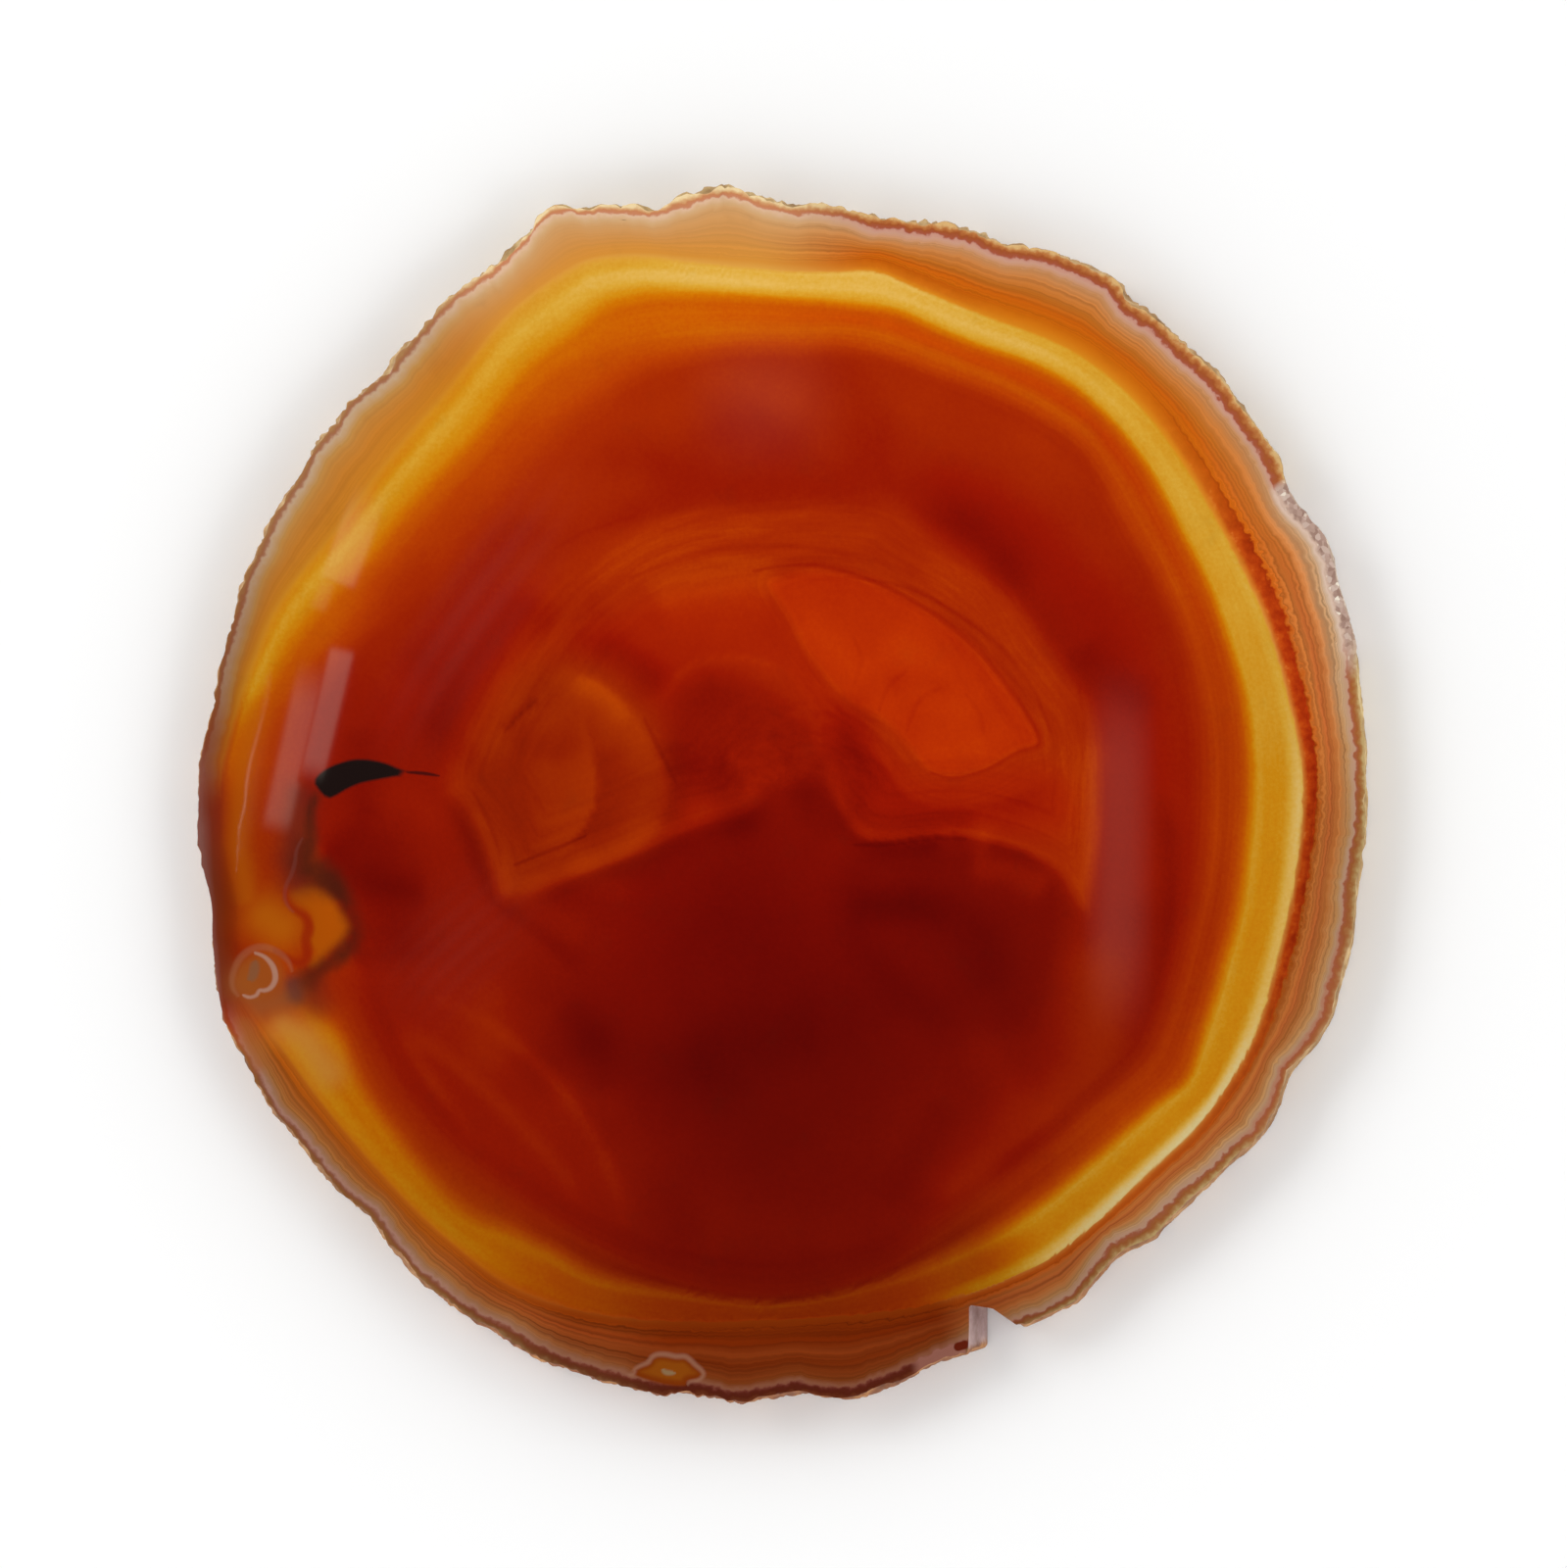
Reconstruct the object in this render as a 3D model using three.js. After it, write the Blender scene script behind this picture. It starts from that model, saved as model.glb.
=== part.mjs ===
// A slice sawn across a banded agate nodule, lying flat on its sawn back with its polished face up.
// Lengths are millimetres and +Z is up. The origin is the middle of the flat back.
// Seen from above, +X is to the right and +Y is up. A bearing is an angle from +X towards +Y.
import * as THREE from 'three';

// The slice as a whole.
const THICKNESS = 6;
const STONE_COLOUR = 0x9c2a0a;
const STONE_ROUGHNESS = 0.15;

// How finely the rim is divided, in degrees from one column of points to the next.
const COLUMN_STEP = 1;
const CHIP_COLUMN_STEP = 0.25;
const CHIP_START = -72;
const CHIP_END = -65;

// The outline of the slice seen from above, as points on its natural skin, [x, y], counter-clockwise from
// the right-hand side. The chip in the lower edge is cut from it further down.
const OUTLINE = [
  [65.6, 1.4], [65.5, 5.8], [65.0, 11.6], [63.3, 20.7], [62.0, 25.6], [60.9, 28.4], [58.9, 30.8],
  [57.3, 33.0], [56.6, 35.0], [55.6, 37.6], [53.8, 40.4], [49.4, 46.5], [46.7, 49.1], [43.7, 51.7],
  [39.9, 55.2], [38.3, 57.0], [34.9, 59.0], [31.1, 60.6], [24.3, 61.8], [22.8, 62.9], [19.5, 63.7],
  [9.1, 65.1], [4.7, 66.0], [0.3, 66.2], [-2.5, 67.2], [-5.5, 68.1], [-8.3, 67.9], [-12.9, 66.4],
  [-13.7, 65.5], [-17.3, 66.1], [-20.4, 66.2], [-21.9, 65.6], [-25.4, 66.2], [-27.2, 65.0],
  [-28.7, 62.8], [-31.6, 60.3], [-38.7, 54.7], [-41.5, 51.4], [-45.6, 46.9], [-49.0, 44.0],
  [-50.2, 41.5], [-52.3, 40.2], [-54.2, 36.3], [-57.8, 30.8], [-59.8, 25.9], [-61.3, 22.3],
  [-64.3, 9.7], [-65.4, 4.4], [-65.7, -0.2], [-65.3, -5.7], [-64.0, -12.0], [-63.6, -19.0],
  [-63.2, -23.0], [-62.1, -26.6], [-59.0, -32.6], [-56.6, -36.7], [-52.9, -41.1], [-49.8, -44.8],
  [-46.6, -47.2], [-44.2, -50.8], [-41.0, -54.5], [-36.0, -58.0], [-32.2, -60.6], [-26.9, -63.6],
  [-21.7, -65.5], [-15.1, -67.1], [-10.7, -67.4], [-5.2, -68.1], [-1.4, -67.9], [2.5, -67.3],
  [8.5, -67.7], [13.5, -66.1], [17.3, -64.1], [22.6, -62.2], [26.7, -59.9], [30.0, -58.7],
  [33.3, -57.1], [35.1, -54.6], [38.0, -52.0], [42.1, -49.6], [47.0, -44.9], [50.7, -41.6],
  [53.6, -38.7], [55.8, -35.2], [57.0, -31.6], [60.2, -27.7], [61.8, -25.0], [63.2, -19.5],
  [64.2, -14.0], [65.1, -7.9],
];

// The rim leans: the back is wider than the polished face, most of all on the right and the lower right.
const LEAN_EVERYWHERE = 0.3;
const LEAN_EXTRA = 0.55;
const LEAN_BEARING = -30;
const LEAN_SPREAD = 48;

// The natural skin on the rim is rough. These are its mean height over the outline's points, the heights
// of its knobs and ledges, and the depth of its pits.
const SKIN_HEIGHT = 0.15;
const KNOB_HEIGHT = 0.2;
const LEDGE_HEIGHT = 0.13;
const PIT_DEPTH = 0.85;
const PIT_THRESHOLD = 0.45;
const KNOBS_ROUND_RIM = 38;
const PITS_ROUND_RIM = 61;

// The polished face rolls over the left-hand edge instead of ending in a sharp corner.
const EDGE_DROP = 0.05;
const ROLL_DROP = 0.75;
const EDGE_WIDTH = 0.4;
const ROLL_WIDTH = 4.3;
const ROLL_BEARING = 181;
const ROLL_SPREAD = 16;

// A nick where the skin dips into the face at the upper right.
const NICK_BEARING = 54.7;
const NICK_SPREAD = 0.9;
const NICK_DEPTH = 1.3;

// The chip: an inner edge between two corners, an upright right-hand break and a sloping left-hand break.
const CHIP_INNER_LEFT = [20.7, -56.65];
const CHIP_INNER_RIGHT = [23.4, -57.3];
const CHIP_MOUTH_RIGHT = [26.5, -59.6];
const CHIP_LEFT_AT_FACE = 20.7;
const CHIP_LEFT_AT_BACK = 23.0;

// The rim's levels from the back to just under the face, and how far each is drawn in.
const RIM_LEVELS = [
  { height: 0, inset: 0.3 },
  { height: 0.35, inset: 0 },
  { height: 1.5, inset: 0 },
  { height: 2.6, inset: 0 },
  { height: 3.7, inset: 0 },
  { height: 4.6, inset: 0 },
];
const SHOULDER = 0.22;
const CORNER_INSET = 0.2;
const ROLL_MIDDLE = 0.4;

const radians = THREE.MathUtils.degToRad;

// A smooth hump, 1 at its own bearing and 0 well away from it, all in degrees.
function hump(bearing, middle, spread) {
  const apart = THREE.MathUtils.euclideanModulo(bearing - middle + 180, 360) - 180;
  return Math.exp(-((apart / spread) ** 2));
}

// The outline as a closed smooth curve, kept as bearings in rising order with the radius at each.
function traceOutline() {
  const points = OUTLINE.map(([x, y]) => new THREE.Vector3(x, y, 0));
  const curve = new THREE.CatmullRomCurve3(points, true, 'centripetal');
  const steps = 40 * OUTLINE.length;
  const traced = curve.getPoints(steps).slice(0, steps).map((point) => ({
    bearing: THREE.MathUtils.radToDeg(Math.atan2(point.y, point.x)),
    radius: Math.hypot(point.x, point.y),
  }));
  return traced.sort((one, other) => one.bearing - other.bearing);
}

const outline = traceOutline();

// The outline's radius at a bearing between -180 and 180, by straight interpolation.
function outlineRadius(bearing) {
  const found = outline.findIndex((step) => step.bearing > bearing);
  const after = found < 0 ? 0 : found;
  const before = (after + outline.length - 1) % outline.length;
  const span = THREE.MathUtils.euclideanModulo(outline[after].bearing - outline[before].bearing, 360);
  const part = THREE.MathUtils.euclideanModulo(bearing - outline[before].bearing, 360) / span;
  return THREE.MathUtils.lerp(outline[before].radius, outline[after].radius, part);
}

// The rough skin at a bearing and height: waves that run round and up the rim make knobs and ledges, and
// the high crests of a finer wave are turned inwards as pits. Slower waves shift each of them along the
// rim, so that no stretch repeats another.
function skinRelief(bearing, height) {
  const turn = radians(bearing);
  const up = height / THICKNESS;
  const knobShift = 2.1 * Math.sin(7 * turn) + 2.4 * up;
  const knobFade = Math.cos(1.6 + 3 * up + 2 * Math.sin(5 * turn));
  const knobs = Math.sin(KNOBS_ROUND_RIM * turn + knobShift) * knobFade;
  const ledges = Math.sin(6.5 * up + 2.5 * Math.sin(4 * turn + 1) + 1.5 * Math.sin(13 * turn));
  const pitShift = 1.7 * Math.sin(11 * turn);
  const pitFade = Math.sin(5.2 * up + 3 * Math.sin(8 * turn));
  const crests = Math.sin(PITS_ROUND_RIM * turn + pitShift) * pitFade;
  const pits = Math.max(0, crests - PIT_THRESHOLD);
  return SKIN_HEIGHT + KNOB_HEIGHT * knobs + LEDGE_HEIGHT * ledges - PIT_DEPTH * pits;
}

// How far along a ray from the middle the straight line through two points is met, or Infinity when the
// ray never gets there.
function rayToLine(turn, from, to) {
  const normalX = from[1] - to[1];
  const normalY = to[0] - from[0];
  const reach = normalX * from[0] + normalY * from[1];
  const towards = normalX * Math.cos(turn) + normalY * Math.sin(turn);
  return towards * reach > 0 ? reach / towards : Infinity;
}

// The radius at which the chip begins: outside its inner edge, its right-hand and its left-hand break.
function chipRadius(bearing, height) {
  const turn = radians(bearing);
  const leftBreak = THREE.MathUtils.lerp(CHIP_LEFT_AT_BACK, CHIP_LEFT_AT_FACE, height / THICKNESS);
  const onLeft = Math.cos(turn) > 0 ? leftBreak / Math.cos(turn) : Infinity;
  const onInner = rayToLine(turn, CHIP_INNER_LEFT, CHIP_INNER_RIGHT);
  const onRight = rayToLine(turn, CHIP_INNER_RIGHT, CHIP_MOUTH_RIGHT);
  return Math.max(onLeft, onInner, onRight);
}

// The radius of the rim at a bearing and height.
function rimRadius(bearing, height) {
  const up = height / THICKNESS;
  const lean = LEAN_EVERYWHERE + LEAN_EXTRA * hump(bearing, LEAN_BEARING, LEAN_SPREAD);
  const nick = NICK_DEPTH * up ** 2 * hump(bearing, NICK_BEARING, NICK_SPREAD);
  const skin = outlineRadius(bearing) - lean * up - nick + skinRelief(bearing, height);
  return bearing > CHIP_START && bearing < CHIP_END ? Math.min(skin, chipRadius(bearing, height)) : skin;
}

function columnBearings() {
  const bearings = [];
  let bearing = -180;
  while (bearing < 180) {
    bearings.push(bearing);
    bearing += bearing >= CHIP_START && bearing < CHIP_END ? CHIP_COLUMN_STEP : COLUMN_STEP;
  }
  return bearings;
}

// One column of the surface, from the back up the rim and in over the edge to the flat of the face.
function column(bearing) {
  const roll = hump(bearing, ROLL_BEARING, ROLL_SPREAD);
  const drop = EDGE_DROP + ROLL_DROP * roll;
  const width = EDGE_WIDTH + ROLL_WIDTH * roll;
  const profile = RIM_LEVELS.map(({ height, inset }) => [rimRadius(bearing, height) - inset, height]);
  const edge = rimRadius(bearing, THICKNESS) - CORNER_INSET;
  profile.push([rimRadius(bearing, THICKNESS - SHOULDER), THICKNESS - drop - SHOULDER]);
  profile.push([edge, THICKNESS - drop]);
  profile.push([edge - ROLL_MIDDLE * width, THICKNESS - drop * (1 - ROLL_MIDDLE) ** 2]);
  profile.push([edge - width, THICKNESS]);
  const turn = radians(bearing);
  return profile.map(([radius, height]) => [radius * Math.cos(turn), radius * Math.sin(turn), height]);
}

// The closed surface: every column joined to the next, and a fan of triangles over the back and the face.
function sliceGeometry() {
  const columns = columnBearings().map(column);
  const levels = columns[0].length;
  const backMiddle = columns.length * levels;
  const faceMiddle = backMiddle + 1;
  const positions = [...columns.flat(), [0, 0, 0], [0, 0, THICKNESS]].flat();
  const triangles = [];
  columns.forEach((points, place) => {
    const here = place * levels;
    const next = ((place + 1) % columns.length) * levels;
    for (let level = 0; level < levels - 1; level += 1) {
      triangles.push(here + level, next + level, next + level + 1);
      triangles.push(here + level, next + level + 1, here + level + 1);
    }
    triangles.push(backMiddle, next, here);
    triangles.push(faceMiddle, here + levels - 1, next + levels - 1);
  });
  const geometry = new THREE.BufferGeometry();
  geometry.setAttribute('position', new THREE.Float32BufferAttribute(positions, 3));
  geometry.setIndex(triangles);
  return geometry;
}

// Moves the slice sideways until its box is centred over the origin.
function centred(geometry) {
  geometry.computeBoundingBox();
  const middle = geometry.boundingBox.getCenter(new THREE.Vector3());
  geometry.translate(-middle.x, -middle.y, 0);
  geometry.computeVertexNormals();
  return geometry;
}

const stone = new THREE.MeshStandardMaterial({
  color: STONE_COLOUR,
  roughness: STONE_ROUGHNESS,
  metalness: 0,
});

const slice = new THREE.Mesh(centred(sliceGeometry()), stone);
slice.name = 'agate_slice';

const object = new THREE.Group();
object.add(slice);

export default object;
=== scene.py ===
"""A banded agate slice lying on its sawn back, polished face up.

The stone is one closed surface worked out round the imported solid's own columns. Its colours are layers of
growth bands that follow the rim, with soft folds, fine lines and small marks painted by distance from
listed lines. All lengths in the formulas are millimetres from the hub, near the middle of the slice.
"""

import math
from types import SimpleNamespace

import bpy
import numpy as np
from mathutils import Matrix, Vector


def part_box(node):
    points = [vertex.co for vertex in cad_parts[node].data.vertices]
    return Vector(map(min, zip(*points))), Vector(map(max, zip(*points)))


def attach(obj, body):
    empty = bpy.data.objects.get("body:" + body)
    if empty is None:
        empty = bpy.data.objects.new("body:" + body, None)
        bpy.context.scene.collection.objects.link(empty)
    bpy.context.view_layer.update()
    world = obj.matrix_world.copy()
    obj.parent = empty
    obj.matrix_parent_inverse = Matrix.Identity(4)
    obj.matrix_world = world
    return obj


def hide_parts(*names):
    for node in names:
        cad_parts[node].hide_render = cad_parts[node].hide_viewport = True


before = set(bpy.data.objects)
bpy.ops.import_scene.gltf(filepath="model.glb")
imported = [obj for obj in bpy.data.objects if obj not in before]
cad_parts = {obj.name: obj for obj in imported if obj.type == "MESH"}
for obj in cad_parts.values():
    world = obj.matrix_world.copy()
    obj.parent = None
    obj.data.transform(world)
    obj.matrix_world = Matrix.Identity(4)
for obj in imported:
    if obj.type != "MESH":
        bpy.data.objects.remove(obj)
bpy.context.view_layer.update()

MM = 0.001

# The photograph's frame, used to place what is read off it
PHOTO_PIXEL = 0.11
PHOTO_MIDDLE = (799.5, 800.0)
PHOTO_HEIGHT = 1600
FACE_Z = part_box("agate_slice")[1].z / MM
HUB_PIXEL = (797.5, 808.0)

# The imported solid: where its columns meet, how many levels each has, which level is the face's edge, and
# how far out its rim's corners lie at least
HUB = np.array([0.078, 0.046])
SOLID_LEVELS = 10
SOLID_EDGE = SOLID_LEVELS - 3
SOLID_RIM_REACH = 40.0

# Chip and druse, as bearings in degrees round the hub
CHIP_ENDS = (-71.7, -65.5)
WHOLE_RIM_GAP = (-71.2, -65.2)
DRUSE_ENDS = (10.5, 32.0)

# How finely the surface is divided. Columns lie closer beside the chip, the eye and the rim's notch at the
# left: bearing, spread in degrees, crowding. Insets are distances in from the edge, and the rings further
# in than each of HALVED_AT have half as many corners as the ones outside it.
COLUMNS = 1440
FINER_AT = [(-68.0, 2.6, 2.5), (-101.3, 3.4, 1.2), (-161.5, 3.5, 1.8)]
FACE_INSETS = (
    [0, 0.1, 0.22, 0.36, 0.52, 0.7, 0.9, 1.15, 1.4, 1.7, 2.0, 2.35, 2.7, 3.1, 3.5, 3.9, 4.3, 4.7, 5.1, 5.5]
    + [5.9, *np.arange(6.4, 22.3, 0.55), *np.arange(22.8, 56.0, 0.62), *np.arange(56.6, 63.6, 0.7)]
)
BACK_INSETS = [0.25, 0.7, *np.arange(1.6, 22.4, 1.3), *np.arange(24, 63, 1.9)]
WALL_STEPS = 14
HALVED_AT = (1.6, 22.3, 44.5, 56.0)
BACK_HALVED_AT = 23
MIDDLE_RADIUS = 64.5
ROUNDING_REACH = 52.0
SHARP_ANGLE = math.radians(38)

# The numbers of the three finishes, and of the parts of the surface that have them
FACE, WALL, BACK = 0, 1, 2


def by_bearing(degrees, *stops):
    """A value round the slice: smooth steps between (bearing in degrees, value) stops, in a closed loop."""
    stops = sorted(stops)
    at = np.array([s[0] for s in stops], float)
    values = np.array([s[1] for s in stops], float)
    at = np.r_[at[-1] - 360, at, at[0] + 360]
    values = np.r_[values[-1], values, values[0]]
    turn = (degrees - at[1]) % 360 + at[1]
    after = np.clip(np.searchsorted(at, turn, side="right"), 1, len(at) - 1)
    part = (turn - at[after - 1]) / (at[after] - at[after - 1])
    part = part * part * (3 - 2 * part)
    return values[after - 1] * (1 - part) + values[after] * part


def smooth_step(value, low, high):
    """0 below low, 1 above high, and an even S between them."""
    part = np.clip((value - low) / (high - low), 0, 1)
    return part * part * (3 - 2 * part)


def fade(gap, reach):
    """1 where the gap is 0, fading by the square of the gap over the reach."""
    return np.exp(-((gap / reach) ** 2))


def between(degrees, ends, rise, fall):
    """1 between two bearings and 0 beyond them. Rise and fall say from where to where the value changes,
    in degrees past each end."""
    return (smooth_step(degrees, ends[0] + rise[0], ends[0] + rise[1])
            * smooth_step(-degrees, fall[0] - ends[1], fall[1] - ends[1]))


def lumps(bearing, height, round_count, layer, seed):
    """Smooth random lumps between -1 and 1: chance values on round_count places round the slice by
    rows one layer apart, joined by smooth steps."""
    grid = np.random.default_rng(seed).uniform(-1, 1, (round_count, 24))
    across = bearing / (2 * np.pi) % 1 * round_count
    up = height / layer + 4
    i, j = np.floor(across).astype(int), np.floor(up).astype(int)
    a, b = across - i, up - j
    a, b = a * a * (3 - 2 * a), b * b * (3 - 2 * b)
    low = grid[i % round_count, j] * (1 - a) + grid[(i + 1) % round_count, j] * a
    high = grid[i % round_count, j + 1] * (1 - a) + grid[(i + 1) % round_count, j + 1] * a
    return low * (1 - b) + high * b


def soft_outline(bearing, own, radius, soften):
    """A closed outline's radius at each bearing: a mean over nine near bearings, weighted by their
    distance, with soften degrees as its spread."""
    near = np.linspace(-2, 2, 9)
    weight = np.exp(-0.5 * near**2)
    total = sum(
        w * np.interp(bearing + np.radians(n * soften), own, radius, period=2 * np.pi)
        for n, w in zip(near, weight)
    )
    return total / weight.sum()


def even_outline(bearing, radius, reach, count):
    """A closed outline's plain mean over the bearings within reach degrees on both sides."""
    return sum(np.interp(bearing + np.radians(n), bearing, radius, period=2 * np.pi)
               for n in np.linspace(-reach, reach, count)) / count


def solid_columns():
    """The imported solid's columns as (column, level, xyz) in mm from the hub, in order of bearing, each
    from the back's edge up to the flat of the face. Corners of one column share one bearing."""
    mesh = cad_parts["agate_slice"].data
    corners = np.zeros(len(mesh.vertices) * 3, np.float32)
    mesh.vertices.foreach_get("co", corners)
    corners = np.unique(np.round(corners.reshape(-1, 3).astype(float) / MM, 4), axis=0)
    corners[:, :2] -= HUB
    corners = corners[np.hypot(corners[:, 0], corners[:, 1]) > SOLID_RIM_REACH]
    bearing = np.round(np.arctan2(corners[:, 1], corners[:, 0]), 5)
    column, count = np.unique(bearing, return_inverse=True, return_counts=True)[1:]
    order = np.lexsort((corners[:, 2], bearing))
    order = order[count[column[order]] == SOLID_LEVELS]
    return corners[order].reshape(-1, SOLID_LEVELS, 3)


def column_bearings():
    """Bearings of the fine surface's columns, packed closer at the places in FINER_AT."""
    even = np.linspace(-np.pi, np.pi, 20001)
    share = 1 + sum(
        crowd * np.exp(-0.5 * ((np.degrees(even) - middle) / spread) ** 2)
        for middle, spread, crowd in FINER_AT
    )
    share = np.cumsum(share)
    return np.interp(np.linspace(share[0], share[-1], COLUMNS, endpoint=False), share, even)


def level_values(columns, bearing):
    """Radius and height of every solid level at each bearing, straight between the solid's columns."""
    own = np.arctan2(columns[:, 0, 1], columns[:, 0, 0])
    radius = np.hypot(columns[:, :, 0], columns[:, :, 1])
    spread = [np.interp(bearing, own, radius[:, k], period=2 * np.pi) for k in range(SOLID_LEVELS)]
    height = [np.interp(bearing, own, columns[:, k, 2], period=2 * np.pi) for k in range(SOLID_LEVELS)]
    return np.stack(spread), np.stack(height)


def whole_rim(columns, bearing, level):
    """The rim's radius at one level as if nothing had been chipped off it, softened a little."""
    own = np.degrees(np.arctan2(columns[:, 0, 1], columns[:, 0, 0]))
    keep = (own < WHOLE_RIM_GAP[0]) | (own > WHOLE_RIM_GAP[1])
    radius = np.hypot(columns[keep, level, 0], columns[keep, level, 1])
    return soft_outline(bearing, np.radians(own[keep]), radius, 0.6)


def rough_skin(bearing, height):
    """How far the rind stands out from the solid's wall: long swells, and round knobs with sharp creases
    between them, which are the size of smooth random lumps without their sign. The knobs are strongest
    along the top, weak at the lower right and nearly gone on the chip's clean break."""
    degrees = np.degrees(bearing)
    strength = by_bearing(degrees, (-175, 0.35), (-160, 0.7), (-130, 0.9), (-90, 0.9), (-50, 0.35),
                          (0, 0.3), (25, 0.5), (50, 0.9), (70, 1.35), (120, 1.35), (150, 1.0), (165, 0.5))
    chip = between(degrees, CHIP_ENDS, (-0.1, 0.3), (-0.1, 0.4))
    out = 0.12 * lumps(bearing, height, 170, 1.9, 3)
    out = out + 0.5 * np.abs(lumps(bearing, height, 360, 1.3, 5)) - 0.16
    out = out + 0.18 * np.abs(lumps(bearing, height, 640, 0.8, 8)) - 0.06
    return out * strength * (1 - 0.85 * chip)


def face_reach(columns, bearing):
    """How much further out the face's edge lies than the solid's: a share of the way out to the widest
    level of the wall, and a little more along the left."""
    face = whole_rim(columns, bearing, SOLID_EDGE)
    widest = np.max([whole_rim(columns, bearing, k) for k in range(SOLID_EDGE)], 0)
    degrees = np.degrees(bearing)
    share = by_bearing(degrees, (-150, 0.6), (-130, 0.45), (-110, 0.6))
    left = by_bearing(degrees, (-180, 0.1), (-172, 0.45), (-160, 0.3), (-152, 0.0), (165, 0.0))
    return (widest - face) * share + left


def rolled_width(bearing):
    """How far in from its edge the face starts to roll over, widest at the left."""
    return by_bearing(np.degrees(bearing), (-172, 3.3), (-160, 1.6), (-145, 0.5), (0, 0.4), (140, 0.5),
                      (152, 3.5), (160, 6.0), (169, 6.9), (180, 5.5))


def fan_strip(outer, inner):
    """Triangles between two closed rings of corner numbers. The inner ring has as many corners as the
    outer one, or half as many."""
    outer_next, inner_next = np.roll(outer, -1), np.roll(inner, -1)
    if len(inner) == len(outer):
        faces = [(outer, outer_next, inner_next), (outer, inner_next, inner)]
    else:
        even, odd, even_next = outer[0::2], outer[1::2], outer_next[1::2]
        faces = [(even, odd, inner), (odd, inner_next, inner), (odd, even_next, inner_next)]
    return np.concatenate([np.stack(corners, 1) for corners in faces])


def ring_radius(edge, inset):
    """A ring's radius, turning slowly from the rim's outline to a circle."""
    return edge - inset - (edge - MIDDLE_RADIUS) * smooth_step(inset, 0, ROUNDING_REACH)


def slice_surface():
    """The whole stone as rings of corners: from the middle of the face out to its edge, down the wall, and
    in over the back. A face ring lies its inset s inside the edge, turning slowly from the rim's outline to
    a circle: r = R - s - (R - 64.5) * S(s / 52). Its height drops to the edge along a parabola of the
    solid's own depth and width: z = 6 - D * (1 - s / w) squared, with s taken from a softened outline where
    the face rolls over widely. The wall runs straight between the solid's levels, with the rind's lumps
    added outwards.
    Returns the corners in mm from the hub, the triangles, the finish of each triangle, the part that each
    corner lies on, and the solid's columns."""
    columns = solid_columns()
    bearing = column_bearings()
    radius, height = level_values(columns, bearing)
    reach = face_reach(columns, bearing)
    radius[SOLID_EDGE:] += reach
    radius[SOLID_EDGE - 1] += reach * 0.7
    radius[SOLID_EDGE - 2] += reach * 0.3
    edge_height, face_height = height[SOLID_EDGE], height[-1].max()
    edge_radius = radius[SOLID_EDGE] + rough_skin(bearing, edge_height)
    calm = by_bearing(np.degrees(bearing), (-174, 0.0), (-169, 1.0), (-160, 1.0), (-156, 0.0), (0, 0.0))
    edge_radius = edge_radius + (even_outline(bearing, edge_radius, 1.5, 7) - edge_radius) * calm
    drop = face_height - edge_height
    width = np.maximum(radius[SOLID_EDGE] - radius[-1], rolled_width(bearing))
    shift = even_outline(bearing, edge_radius, 9, 19) - edge_radius
    shift = shift * smooth_step(rolled_width(bearing), 1.0, 3.5)

    rings, kinds = [], []

    def add_ring(step, r, z, kind):
        rings.append(np.stack([r * np.cos(bearing[::step]), r * np.sin(bearing[::step]), z + 0 * r], 1))
        kinds.append(kind)

    for inset in sorted(FACE_INSETS, reverse=True):
        step = 2 ** sum(inset > limit for limit in HALVED_AT)
        r = ring_radius(edge_radius[::step], inset)
        z = face_height - drop[::step] * np.clip(1 - (inset + shift[::step]) / width[::step], 0, 1.15) ** 2
        add_ring(step, r, z, FACE)
    for share in np.linspace(1, 0, WALL_STEPS)[1:]:
        at = share * SOLID_EDGE
        low = int(min(math.floor(at), SOLID_EDGE - 1))
        part = at - low
        z = height[low] * (1 - part) + height[low + 1] * part
        r = radius[low] * (1 - part) + radius[low + 1] * part + rough_skin(bearing, z)
        add_ring(1, r, z, WALL)
    back_edge = radius[0] + rough_skin(bearing, height[0])
    for inset in BACK_INSETS:
        step = 4 if inset > BACK_HALVED_AT else 2
        add_ring(step, ring_radius(back_edge[::step], inset), 0, BACK)

    starts = np.cumsum([1] + [len(r) for r in rings])
    numbers = [np.arange(a, a + len(r)) for a, r in zip(starts, rings)]
    corners = np.concatenate([[[0, 0, face_height]], *rings, [[0, 0, 0]]])
    first, last = numbers[0], numbers[-1]
    parts = [np.stack([first, np.roll(first, -1), np.zeros_like(first)], 1)]
    finishes = [FACE, *kinds[1:], BACK]
    for ring, following, kind in zip(numbers[:-1], numbers[1:], kinds[1:]):
        parts.append(fan_strip(following, ring) if kind == FACE else fan_strip(ring, following)[:, ::-1])
    parts.append(np.stack([last, np.full_like(last, len(corners) - 1), np.roll(last, -1)], 1))
    part_of = np.repeat([FACE, *kinds, BACK], [1, *[len(r) for r in rings], 1])
    return corners, np.concatenate(parts), np.repeat(finishes, [len(p) for p in parts]), part_of, columns
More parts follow.
